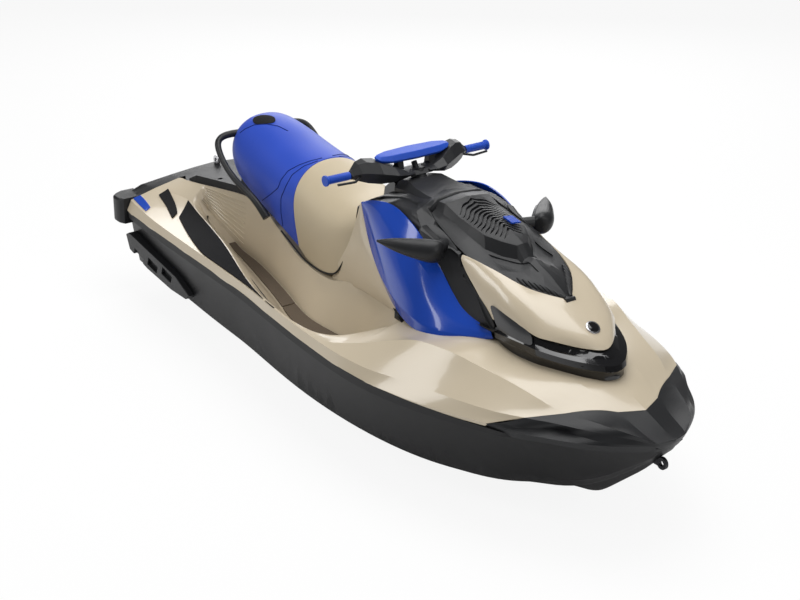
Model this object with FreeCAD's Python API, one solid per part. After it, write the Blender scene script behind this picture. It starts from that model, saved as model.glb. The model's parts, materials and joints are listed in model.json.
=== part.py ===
import FreeCAD, Part
import math
import os

# A three-seat sit-down personal watercraft, drawn in millimetres. While it is being modelled,
# x runs forward from the stern, y to port and z up from the keel. At the end everything is
# moved so that the origin lies on the waterline, amidships on the centre line.

# Hull and deck
LENGTH = 3310.0          # over the bow bumper
HALF_BEAM = 628.0        # over the rub rail
DRAFT = 300.0            # keel to waterline
DECK_JOINT = 420.0       # height at which the deck meets the hull
RAIL_DEPTH = 40.0        # height of the rub rail band
RAIL_THICK = 14.0        # how far the rail stands off the hull
STERN_X = 30.0           # after edge of the platform
TRANSOM_X = 100.0        # after face of the hull
STERN_TRIM = 90.0        # black band across the stern, fore and aft
CORNER_WIDTH = 115.0     # corner cap, inboard from the edge of the deck
CORNER_LOW = 350.0       # lower edge of the corner cap, which wraps the end of the rail
CORNER_HIGH = 478.0
BUMPER_START = 735.0     # where the bow bumper begins, back from the tip
MAT_THICK = 5.0
FLOOR_Z = 300.0          # footwell floor

# Console and cowl
LID_THICK = 34.0
LID_GAP = 6.0
PANEL_THICK = 26.0
TUB_WALL = 4.0
LID_HINGE_X = 2712.0
LID_HINGE_Z = 772.0
KNUCKLE_R = 10.0
HINGE_PIN_R = 5.0
KNUCKLE_HALF = 22.0
PIN_FIT = 0.05           # radial play of a hinge pin

# Steering
STEER_X = 1745.0         # where the steering axis meets the top of the neck
STEER_Z = 998.0
STEER_TILT = 35.0        # degrees that the axis leans back
STEER_PIN_R = 12.0
NECK_BOSS_R = 32.0
GRIP_X = 1684.0
GRIP_Z = 1014.0
GRIP_END_Y = 412.0
GRIP_LENGTH = 118.0
GRIP_R = 16.5
BAR_R = 11.0

# Engine and drive
ENGINE_LENGTH = 600.0
ENGINE_WIDTH = 400.0
ENGINE_HEIGHT = 320.0
ENGINE_X = 1000.0
ENGINE_Z = 84.0
BAY_CLEAR = 12.0
PUMP_Z = 150.0
PUMP_BORE_R = 80.0
PUMP_WALL = 12.0
PUMP_FRONT = 640.0
PUMP_REAR = 400.0
OUTLET_X = 205.0
OUTLET_R = 46.0
SHAFT_R = 14.0
IMPELLER_R = 75.0
HUB_R = 26.0
IMPELLER_BLADES = 4
NOZZLE_IN_R = 60.0
NOZZLE_OUT_R = 48.0
NOZZLE_WALL = 6.0
NOZZLE_REAR = 88.0
NOZZLE_PIN_R = 7.0
BUCKET_X = 238.0         # reverse bucket pivot
BUCKET_R = 176.0
BUCKET_WALL = 8.0
BUCKET_HALF = 112.0
BUCKET_LOW = 38.0        # degrees above the jet at which the raised bucket starts
BUCKET_SPAN = 70.0
TUNNEL_HALF = 134.0
TUNNEL_TOP = 352.0
PLATE_TOP = 12.0         # ride plate, which lies in a recess of the hull bottom
PLATE_REAR = 52.0

# Seat
SEAT_REAR = 468.0
SEAT_SPLIT_TOP = 1090.0
SEAT_SPLIT_LEAN = 0.20   # forward run of the split for each unit down
SEAT_GAP = 2.0
SEAT_FRONT = 1600.0

# Fittings
HANDLE_R = 15.0
EYE_BORE_R = 11.0
EYE_THICK = 14.0
FIXING_BORE_R = 14.0     # sockets in the stern deck that take an accessory
FIXING_DEPTH = 45.0
FIXING_X = 300.0
FIXING_Y = 112.0
EYE_R = 24.0
MIRROR_STALK = 24.0
DECK_RAIL_WIDTH = 26.0   # raised rails along the sides of the stern deck
DECK_RAIL_RISE = 28.0
VENT_SLOTS = 3           # slots in each side vent of the nose
VENT_PITCH = 22.0
VENT_SLOT = 9.0


def V(x, y, z):
    return FreeCAD.Vector(x, y, z)


X = V(1, 0, 0)
Y = V(0, 1, 0)
Z = V(0, 0, 1)


def bow(back):
    """x of a place given as its distance back from the bow tip"""
    return LENGTH - back


def edge(inset):
    """y of a place given as its distance in from the widest line"""
    return HALF_BEAM - inset


def smooth(points, x):
    """height at x of a curve that runs through the points and never overshoots them"""
    if x <= points[0][0]:
        return points[0][1]
    if x >= points[-1][0]:
        return points[-1][1]
    slopes = [(b[1] - a[1]) / (b[0] - a[0]) for a, b in zip(points, points[1:])]
    tangents = [slopes[0]]
    for left, right in zip(slopes, slopes[1:]):
        tangents.append(2 * left * right / (left + right) if left * right > 0 else 0.0)
    tangents.append(slopes[-1])
    i = max(k for k in range(len(points) - 1) if points[k][0] <= x)
    step = points[i + 1][0] - points[i][0]
    t = (x - points[i][0]) / step
    return (points[i][1] * (1 + 2 * t) * (1 - t) ** 2 + tangents[i] * step * t * (1 - t) ** 2
            + points[i + 1][1] * t * t * (3 - 2 * t) - tangents[i + 1] * step * t * t * (1 - t))


class Line:
    """a design line of the body, given by a few points (x, y, z) on the port side"""

    def __init__(self, *points):
        self.points = points

    def y(self, x):
        return smooth([(p[0], p[1]) for p in self.points], x)

    def z(self, x):
        return smooth([(p[0], p[2]) for p in self.points], x)

    def at(self, x):
        return V(x, self.y(x), self.z(x))


def mirrored(shape):
    return shape.mirror(V(0, 0, 0), Y)


def both(shape):
    return Part.makeCompound([shape, mirrored(shape)])


def polygon(points):
    return Part.makePolygon(list(points) + [points[0]])


def loft(wires, ruled=False):
    solid = Part.makeLoft(wires, True, ruled)
    if solid.Volume < 0:
        solid.reverse()
    return solid


def body_loft(lines, stations, ruled=False):
    """solid through half sections that run from the centre line below to the centre line above"""
    wires = []
    for x in stations:
        half = [line.at(x) for line in lines]
        other = [V(p.x, -p.y, p.z) for p in reversed(half) if p.y > 0.01]
        wires.append(polygon(half + other))
    return loft(wires, ruled)


def prism(points, axis, low, high):
    """solid with an outline in the plane across the axis, from low to high along it"""
    if axis == Z:
        corners = [V(a, b, low) for a, b in points]
    elif axis == Y:
        corners = [V(a, low, b) for a, b in points]
    else:
        corners = [V(low, a, b) for a, b in points]
    return Part.Face(polygon(corners)).extrude(axis * (high - low))


def box(x, y, z):
    """block between pairs of limits"""
    return Part.makeBox(x[1] - x[0], y[1] - y[0], z[1] - z[0], V(x[0], y[0], z[0]))


def rod(start, end, radius):
    return Part.makeCylinder(radius, (end - start).Length, start, end - start)


def tube_path(points, radius, bend):
    """round bar along straight runs joined by arcs of one bend radius"""
    edges = []
    start = points[0]
    for before, corner, after in zip(points, points[1:], points[2:]):
        a = (before - corner).normalize()
        b = (after - corner).normalize()
        half = a.getAngle(b) / 2
        run = bend / math.tan(half)
        middle = corner + (a + b).normalize() * (bend / math.sin(half) - bend)
        edges.append(Part.LineSegment(start, corner + a * run).toShape())
        edges.append(Part.Arc(corner + a * run, middle, corner + b * run).toShape())
        start = corner + b * run
    edges.append(Part.LineSegment(start, points[-1]).toShape())
    path = Part.Wire(edges)
    ring = Part.Wire(Part.makeCircle(radius, points[0], points[1] - points[0]))
    return path.makePipeShell([ring], True, False)


def revolved(profile, origin=V(0, 0, 0)):
    """solid turned about an axis along x through the origin, from points (x, radius)"""
    corners = [V(origin.x + a, origin.y, origin.z + r) for a, r in profile]
    return Part.Face(polygon(corners)).revolve(origin, X, 360)


def oval(centre, half_width, half_height, turn):
    """smooth upright closed curve about a centre, turned about the vertical"""
    ring = []
    for k in range(8):
        angle = math.radians(45 * k)
        ring.append(V(half_width * math.cos(angle), 0, half_height * math.sin(angle)))
    curve = Part.BSplineCurve()
    curve.interpolate(ring, PeriodicFlag=True)
    wire = Part.Wire(curve.toShape())
    wire.rotate(V(0, 0, 0), Z, turn)
    wire.translate(centre)
    return wire


def biggest(shape):
    return max(shape.Solids, key=lambda solid: solid.Volume)


def without_crumbs(shape, least=2000.0):
    """the solids of a shape that are more than slivers of a cut"""
    return Part.makeCompound([solid for solid in shape.Solids if solid.Volume > least])


# Design lines of the hull, port side
KEEL = Line((TRANSOM_X, 0, 0), (bow(760), 0, 0), (bow(450), 0, 32), (bow(320), 0, 105),
            (bow(210), 0, 205), (bow(100), 0, 315), (bow(32), 0, 400))
CHINE = Line((TRANSOM_X, edge(163), 140), (700, edge(130), 140), (1260, edge(98), 140),
             (1830, edge(64), 140), (2254, edge(93), 141), (bow(760), edge(167), 145),
             (bow(500), edge(292), 158), (bow(330), 172, 186), (bow(210), 92, 250),
             (bow(100), 48, 335), (bow(32), 28, 406))
RAIL_TOP = Line((STERN_X, edge(126), DECK_JOINT), (170, edge(96), DECK_JOINT), (700, edge(75), DECK_JOINT),
                (1260, edge(56), DECK_JOINT), (1500, edge(34), DECK_JOINT), (1800, edge(10), DECK_JOINT),
                (2050, edge(0), DECK_JOINT), (2230, edge(10), DECK_JOINT), (2440, edge(46), 424),
                (bow(660), edge(106), 430), (bow(490), edge(168), 438), (bow(390), edge(213), 444),
                (bow(310), edge(276), 447), (bow(210), 268, 447), (bow(130), 196, 446),
                (bow(50), 92, 443), (LENGTH, 56, 438))

# Design lines of the deck, port side, outermost first
BAND = Line((STERN_X, edge(148), 470), (170, edge(116), 468), (450, edge(101), 458), (1260, edge(76), 456),
            (1500, edge(52), 457), (1800, edge(28), 459), (2050, edge(14), 463), (2230, edge(28), 465),
            (2440, edge(88), 470), (bow(690), edge(128), 478), (bow(490), edge(196), 481),
            (bow(370), edge(266), 484), (bow(310), 318, 484), (bow(210), 242, 476),
            (bow(110), 140, 468), (bow(50), 74, 460), (LENGTH, 44, 450))
CREASE = Line((STERN_X, 400, 500), (200, 350, 503), (320, 292, 485), (450, 316, 466), (790, 390, 462),
              (1440, edge(60), 461), (1720, edge(34), 461), (1940, edge(30), 466), (2100, 545, 500),
              (2250, 480, 552), (2370, 440, 588), (2517, 412, 596), (2652, 370, 575), (2782, 330, 554),
              (2902, 298, 529), (2991, 262, 502), (3100, 190, 490), (bow(110), 115, 478), (bow(50), 60, 468),
              (LENGTH, 36, 460))
PEDESTAL = Line((STERN_X, 230, 520), (190, 235, 538), (450, 190, 560), (660, 168, 578), (800, 175, 572),
                (1000, 200, 520), (1200, 224, 470), (1430, 250, 466), (1700, 250, 530), (1880, 262, 542),
                (2100, 300, 552), (2332, 330, 572), (2480, 280, 600), (2560, 230, 602), (2640, 212, 580),
                (2745, 186, 572), (2870, 150, 566), (2991, 122, 545), (3100, 96, 504), (bow(110), 66, 486),
                (bow(50), 44, 472), (LENGTH, 30, 463))
RIDGE = Line((STERN_X, 105, 532), (450, 100, 566), (660, 95, 584), (800, 95, 580), (1000, 100, 528),
             (1200, 105, 480), (1430, 110, 476), (1700, 120, 536), (1880, 125, 548), (2100, 140, 558),
             (2332, 150, 578), (2480, 145, 606), (2640, 120, 586), (2745, 110, 578), (2870, 90, 570),
             (2991, 76, 552), (3100, 60, 498), (bow(110), 50, 484), (bow(50), 36, 473), (LENGTH, 26, 465))
CENTRE = Line((STERN_X, 0, 538), (450, 0, 570), (660, 0, 588), (800, 0, 584), (1000, 0, 532),
              (1200, 0, 484), (1430, 0, 480), (1700, 0, 540), (1880, 0, 552), (2100, 0, 562),
              (2332, 0, 580), (2480, 0, 608), (2640, 0, 588), (2745, 0, 580), (2870, 0, 572),
              (2991, 0, 548), (3100, 0, 488), (bow(110), 0, 476), (bow(50), 0, 466), (LENGTH, 0, 459))

# The footwell, port side: floor edges and the rim of its outer wall
FLOOR_INNER = Line((330, 236, 470), (430, 165, 380), (560, 130, FLOOR_Z + 14), (800, 185, FLOOR_Z + 4),
                   (1100, 255, FLOOR_Z), (1490, 335, FLOOR_Z), (1750, 318, FLOOR_Z + 2),
                   (1850, 314, FLOOR_Z + 32), (1960, 318, 420), (2050, 326, 498), (2100, 330, 532))
FLOOR_OUTER = Line((330, 262, 470), (430, 212, 380), (560, 205, FLOOR_Z + 14), (800, 262, FLOOR_Z + 4),
                   (1210, 359, FLOOR_Z), (1390, 411, FLOOR_Z), (1600, 450, FLOOR_Z), (1750, 468, FLOOR_Z + 2),
                   (1850, 476, FLOOR_Z + 32), (1960, 452, 420), (2050, 396, 498), (2100, 350, 532))
RIM = Line((330, 292, 482), (430, 312, 468), (790, 390, 462), (1440, edge(62), 461), (1700, edge(38), 461),
           (1850, edge(56), 470), (1960, edge(106), 488), (2050, 415, 512), (2100, 352, 540))

# Design lines of the cowl that carries the console, hood and nose, port side
COWL_FOOT = Line((1600, 195, 520), (1700, 235, 526), (1850, 285, 530), (2000, 325, 532), (2165, 352, 542),
                 (2332, 370, 560), (2430, 318, 590), (2550, 224, 600), (2640, 210, 578), (2745, 182, 568),
                 (2860, 134, 566), (2940, 90, 564), (2990, 26, 558))
COWL_SIDE = Line((1600, 205, 690), (1700, 250, 700), (1850, 298, 715), (2000, 328, 712), (2120, 336, 700),
                 (2235, 324, 680), (2345, 302, 650), (2430, 264, 652), (2550, 236, 650), (2640, 220, 640),
                 (2745, 198, 632), (2860, 162, 620), (2940, 112, 612), (2992, 34, 606))
COWL_WAIST = Line((1600, 203, 790), (1700, 238, 815), (1850, 272, 850), (2000, 280, 840), (2120, 268, 812),
                  (2235, 240, 784), (2345, 230, 742), (2430, 222, 742), (2515, 221, 748), (2640, 206, 712),
                  (2745, 188, 680), (2863, 99, 662), (2934, 26, 650), (2990, 20, 600))
COWL_SHOULDER = Line((1600, 195, 835), (1700, 212, 882), (1850, 226, 928), (2000, 238, 926), (2072, 236, 904),
                     (2165, 218, 876), (2300, 202, 857), (2400, 189, 838), (2487, 172, 826), (2588, 166, 796),
                     (2640, 163, 784), (2745, 138, 738), (2863, 74, 690), (2934, 20, 653), (2989, 15, 602))
COWL_TOP = Line((1600, 150, 852), (1700, 150, 903), (1850, 150, 946), (2000, 160, 948), (2125, 168, 912),
                (2297, 186, 860), (2399, 170, 851), (2487, 150, 836), (2566, 124, 815), (2649, 74, 790),
                (2745, 62, 752), (2863, 46, 697), (2934, 14, 654), (2988, 10, 603))
COWL_RIDGE = Line((1600, 75, 857), (1700, 75, 910), (1850, 85, 954), (2000, 106, 975), (2085, 112, 982),
                  (2165, 104, 952), (2300, 90, 938), (2400, 34, 918), (2470, 36, 866), (2566, 50, 836),
                  (2649, 34, 796), (2745, 30, 755), (2863, 22, 699), (2934, 8, 655), (2988, 6, 604))
COWL_CENTRE = Line((1600, 0, 860), (1700, 0, 914), (1850, 0, 956), (2000, 0, 984), (2085, 0, 993),
                   (2165, 0, 964), (2300, 0, 950), (2400, 0, 920), (2470, 0, 878), (2566, 0, 840),
                   (2712, 0, 771), (2845, 0, 708), (2934, 0, 656), (2988, 0, 605))
COWL_BASE = Line((1600, 0, 520), (2400, 0, 560), (2990, 0, 520))

DECK_STATIONS = [STERN_X, 110, 200, 320, 450, 660, 800, 1000, 1200, 1440, 1600, 1720, 1860, 1960, 2100,
                 2250, 2370, 2480, 2560, 2652, 2782, 2902, 2991, 3100, bow(110), bow(50), LENGTH]
HULL_STATIONS = [TRANSOM_X, 400, 700, 1000, 1400, 1830, 2254, bow(760), bow(620), bow(500), bow(400),
                 bow(320), bow(210), bow(100), bow(32)]
COWL_STATIONS = [1600, 1700, 1850, 2000, 2085, 2165, 2235, 2300, 2345, 2400, 2470, 2560, 2649, 2745, 2863,
                 2934, 2990]

# Plan outlines, port side
LID_REAR = 2036
LID_PLAN = [(LID_REAR, 0), (LID_REAR, 142), (2125, 166), (2297, 183), (2399, 167), (2487, 147), (2566, 121),
            (2649, 68), (LID_HINGE_X, KNUCKLE_HALF), (LID_HINGE_X, 0)]
TUB_PLAN = [(2080, 105), (2140, 128), (2400, 130), (2540, 92)]
CORNER_PLAN = [(0, 430), (0, 516), (14, 544), (44, 560), (86, 560), (112, 546), (112, 430)]
BUMPER_PLAN = [(bow(BUMPER_START), 700), (bow(BUMPER_START), edge(80)), (bow(470), 476), (bow(310), 284),
               (bow(215), 150), (bow(168), 0)]
LARGE_MAT_PLAN = [(322, 300), (452, 424), (900, edge(74)), (1455, edge(52)), (1438, edge(68)), (790, 402)]
SMALL_MAT_PLAN = [(182, 330), (200, 396), (300, 410), (440, 452), (392, 400), (300, 362)]

# Side outlines (x, z)
PANEL_SIDE = [(1632, 868), (1676, 794), (1760, 712), (1880, 645), (2010, 590), (2150, 538), (2332, 550),
              (2460, 584), (2562, 596), (2550, 640), (2360, 668), (2262, 728), (2235, 785), (2080, 906),
              (2000, 940), (1900, 965), (1780, 935)]
HOOD_SIDE = [(2290, 1000), (2294, 858), (2341, 785), (2430, 750), (2542, 652), (2574, 652), (2524, 748),
             (2745, 680), (2863, 661), (2938, 640), (3000, 630), (3000, 1000)]
SKIRT_SIDE = [(1440, 440), (1452, 560), (1500, 640), (1580, 700), (1612, 800), (1622, 858), (1690, 800),
              (1900, 680), (2100, 600), (2100, 440)]


def full_plan(points):
    return points + [(a, -b) for a, b in reversed(points) if b > 0]


def hull_solid():
    top = Line(*[(p[0], max(p[1] - RAIL_THICK, 20), p[2]) for p in RAIL_TOP.points])
    wires = []
    for x in HULL_STATIONS:
        keel, chine = KEEL.at(x), CHINE.at(x)
        inner = V(x, chine.y * 0.46, keel.z + (chine.z - keel.z) * 0.60)
        outer = V(x, chine.y * 0.52, keel.z + (chine.z - keel.z) * 0.52)
        flat = V(x, chine.y * 0.90, keel.z + (chine.z - keel.z) * 0.93)
        shelf = V(x, top.y(x), DECK_JOINT)
        half = [keel, inner, outer, flat, chine, shelf]
        wires.append(polygon(half + [V(p.x, -p.y, p.z) for p in reversed(half[1:])]))
    return loft(wires)


def tunnel():
    """channel under the stern for the pump, with the duct that feeds it through the bottom"""
    stern = box((TRANSOM_X - 20, PUMP_REAR), (-TUNNEL_HALF, TUNNEL_HALF), (-50, TUNNEL_TOP))
    bay_r = PUMP_BORE_R + PUMP_WALL + 14
    pump_bay = rod(V(PUMP_REAR - 1, 0, PUMP_Z), V(PUMP_FRONT, 0, PUMP_Z), bay_r)
    low = box((PUMP_REAR - 1, PUMP_FRONT), (-bay_r, bay_r), (-50, PUMP_Z))
    recess = box((PUMP_REAR - 1, PUMP_FRONT + 30), (-TUNNEL_HALF, TUNNEL_HALF), (-50, PLATE_TOP))
    mouth = V(PUMP_FRONT + 600, 0, -PUMP_BORE_R - 30)
    duct = rod(V(PUMP_FRONT, 0, PUMP_Z), mouth, PUMP_BORE_R)
    collar = rod(V(PUMP_FRONT, 0, PUMP_Z), V(ENGINE_X, 0, PUMP_Z), SHAFT_R + 6)
    return [stern, pump_bay, low, recess, duct, collar]


def engine_bay():
    x = (ENGINE_X - BAY_CLEAR, ENGINE_X + ENGINE_LENGTH + BAY_CLEAR)
    half = ENGINE_WIDTH / 2 + BAY_CLEAR
    return box(x, (-half, half), (ENGINE_Z, DECK_JOINT + 10))


def upper_loft():
    """the whole form above the lower edge of the rail, before it is divided into pieces"""
    low = DECK_JOINT - RAIL_DEPTH
    foot = Line(*[(p[0], max(p[1] - 6, 20), low + max(p[2] - DECK_JOINT, 0)) for p in RAIL_TOP.points])
    floor = Line(*[(p[0], 0, low + max(p[2] - DECK_JOINT, 0)) for p in RAIL_TOP.points])
    return body_loft([floor, foot, RAIL_TOP, BAND, CREASE, PEDESTAL, RIDGE, CENTRE], DECK_STATIONS)


def footwell():
    """cutter of the port footwell, open above"""
    reach = 300.0
    wires = []
    for x in (330, 430, 560, 800, 1100, 1440, 1600, 1750, 1850, 1960, 2050, 2100):
        floor_in, floor_out = FLOOR_INNER.at(x), FLOOR_OUTER.at(x)
        rim_in, rim_out = PEDESTAL.at(x), RIM.at(x)
        rise_in = max(rim_in.z - floor_in.z, 12)
        rise_out = max(rim_out.z - floor_out.z, 12)
        top_in = V(x, floor_in.y + (rim_in.y - floor_in.y) * reach / rise_in, floor_in.z + reach)
        top_out = V(x, floor_out.y + (rim_out.y - floor_out.y) * reach / rise_out, floor_out.z + reach)
        if x < 400 or x > 2040:
            top_in = V(x, floor_in.y - 8, floor_in.z + reach)
            top_out = V(x, floor_out.y + 40, floor_out.z + reach)
        wires.append(polygon([floor_in, floor_out, top_out, top_in]))
    return loft(wires, ruled=True)


def make_seat_base():
    """black plinth that carries the rear seat above the stern deck"""
    wires = []
    for x, half, top in ((486, 92, 706), (560, 140, 667), (720, 160, 614), (880, 170, 566)):
        wires.append(polygon([V(x, half + 14, 540), V(x, half, top), V(x, -half, top), V(x, -half - 14, 540)]))
    return loft(wires, ruled=True)


def bumper_outline():
    port = list(BUMPER_PLAN)
    starboard = [(a, -b) for a, b in reversed(port[:-1])]
    return port + starboard + [(LENGTH + 80, -700), (LENGTH + 80, 700)]


def rear_deck_outline():
    """black centre of the stern deck, from the stern band up to the grab handles"""
    band = STERN_X + STERN_TRIM
    port = [(STERN_X - 20, 700), (band, 700), (band, 205), (190, 238), (450, 186), (660, 164), (800, 150),
            (800, 0)]
    return port + [(a, -b) for a, b in reversed(port[:-1])]


def make_deck_rails():
    """raised rails that taper up out of the stern deck along its black sides"""
    wires = []
    for x, rise in ((198, 2), (260, DECK_RAIL_RISE), (450, DECK_RAIL_RISE), (600, DECK_RAIL_RISE), (650, 2)):
        outer = PEDESTAL.y(x) - 6
        inner = outer - DECK_RAIL_WIDTH
        base, top = PEDESTAL.z(x) - 12, RIDGE.z(x) + rise
        wires.append(polygon([V(x, outer, base), V(x, outer - 5, top), V(x, inner + 5, top), V(x, inner, base)]))
    return both(loft(wires, ruled=True))


def make_upper():
    whole = upper_loft()
    above = box((0, LENGTH + 50), (-800, 800), (DECK_JOINT, 900))
    below = box((0, LENGTH + 50), (-800, 800), (300, DECK_JOINT))
    bow_zone = prism(bumper_outline(), Z, 300, 900)
    rear_zone = prism(rear_deck_outline(), Z, DECK_JOINT + 60, 900)
    corner = prism([(STERN_X - 20, edge(CORNER_WIDTH + 126)), (STERN_X + STERN_TRIM, edge(CORNER_WIDTH + 126)),
                    (STERN_X + STERN_TRIM, 800), (STERN_X - 20, 800)], Z, DECK_JOINT, 900)
    wrap = prism(CORNER_PLAN, Z, CORNER_LOW, CORNER_HIGH)
    wrap = wrap.makeChamfer(9.0, [e for e in wrap.Edges if min(v.Y for v in e.Vertexes) > 500])
    corners = both(corner)
    wells = [footwell(), mirrored(footwell())]
    deck = whole.common(above).cut([bow_zone, rear_zone, corners] + wells)
    hull = hull_solid().cut(tunnel() + [engine_bay()])
    hull = hull.cut(wells)
    bumper = whole.common(bow_zone).cut(hull)
    sockets = [rod(V(FIXING_X, side * FIXING_Y, RIDGE.z(FIXING_X) - FIXING_DEPTH),
                   V(FIXING_X, side * FIXING_Y, 700), FIXING_BORE_R) for side in (1, -1)]
    rear = whole.common(rear_zone).cut([corners] + sockets)
    rear = rear.fuse([make_seat_base().cut(whole), make_deck_rails().cut(whole)])
    caps = both(biggest(whole.common(corner).fuse(wrap.cut([whole, hull]))))
    rail = whole.common(below).cut([hull, bow_zone, hull_solid(), both(wrap)])
    rail_end = box((STERN_X + STERN_TRIM, LENGTH), (-800, 800), (300, 800))
    return deck, hull, bumper, rear, caps, rail.common(rail_end)


def make_mats(deck):
    raised = deck.copy()
    raised.translate(V(0, 0, MAT_THICK))
    large = prism(LARGE_MAT_PLAN, Z, DECK_JOINT, 600)
    small = prism(SMALL_MAT_PLAN, Z, DECK_JOINT, 600)
    side = Part.makeCompound([raised.common(zone).cut(deck) for zone in (large, small)])
    return without_crumbs(both(side))


def make_floor_mats():
    """two mats end to end on each footwell floor"""
    mats = []
    for start, end in ((560, 1275), (1283, 1500)):
        wires = []
        steps = 5
        for k in range(steps + 1):
            x = start + (end - start) * k / steps
            inner, outer = FLOOR_INNER.at(x) + V(0, 5, 0), FLOOR_OUTER.at(x) - V(0, 5, 0)
            wires.append(polygon([inner, outer, outer + V(0, 0, MAT_THICK), inner + V(0, 0, MAT_THICK)]))
        mats.append(loft(wires, ruled=True))
    return both(Part.makeCompound(mats))


def seat_section(x, half_foot, foot, half_side, side, crown):
    """closed outline of the seat across the boat: flat foot, bulging sides and a rounded top"""
    shoulder = side + (crown - side) * 0.56
    left, right = V(x, half_foot, foot), V(x, -half_foot, foot)
    high_left, high_right = V(x, half_side * 0.76, shoulder), V(x, -half_side * 0.76, shoulder)
    edges = [Part.LineSegment(right, left).toShape(),
             Part.Arc(left, V(x, half_side, side), high_left).toShape(),
             Part.Arc(high_left, V(x, 0, crown), high_right).toShape(),
             Part.Arc(high_right, V(x, -half_side, side), right).toShape()]
    return Part.Wire(edges)


def make_seats(base):
    sections = [(SEAT_REAR, 95, 715, 116, 790, 866),
                (500, 140, 688, 160, 780, 916),
                (560, 165, 664, 186, 765, 940),
                (720, 182, 612, 200, 740, 932),
                (900, 196, 560, 208, 720, 892),
                (SEAT_SPLIT_TOP, 212, 510, 218, 690, 866),
                (1220, 226, 474, 226, 655, 832),
                (1380, 240, 474, 230, 640, 800),
                (1500, 236, 500, 212, 680, 806),
                (SEAT_FRONT, 190, 620, 180, 740, 830)]
    whole = loft([seat_section(*values) for values in sections])
    whole = whole.cut([base, make_seat_base()])
    far = 400.0
    top, low = 1000.0, 400.0
    crown = 866.0

    def split_x(z, shift):
        return SEAT_SPLIT_TOP + shift + (crown - z) * SEAT_SPLIT_LEAN

    behind = prism([(split_x(top, -SEAT_GAP), top), (split_x(low, -SEAT_GAP), low), (400, low), (400, top)],
                   Y, -far, far)
    ahead = prism([(split_x(top, 0), top), (split_x(low, 0), low), (1700, low), (1700, top)], Y, -far, far)
    return biggest(whole.common(behind)), biggest(whole.common(ahead))


def make_vent_slots():
    """cutters of the slots in the port vent, which follow the lower edge of the hood and shorten downwards"""
    top_x, top_z, fall, low = 2524.0, 748.0, 0.308, 650.0
    depth_y = 168.0
    slots = []
    for k in range(VENT_SLOTS):
        drop = VENT_PITCH * (k + 0.9)
        start = 2566 + 6 * k
        end = min(2728.0, top_x + (top_z - drop - low) / fall)
        corners = [(x, top_z - fall * (x - top_x) - drop) for x in (start, end)]
        slots.append(prism(corners + [(a, b - VENT_SLOT) for a, b in reversed(corners)], Y, depth_y, 300))
    return Part.makeCompound(slots)


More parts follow.
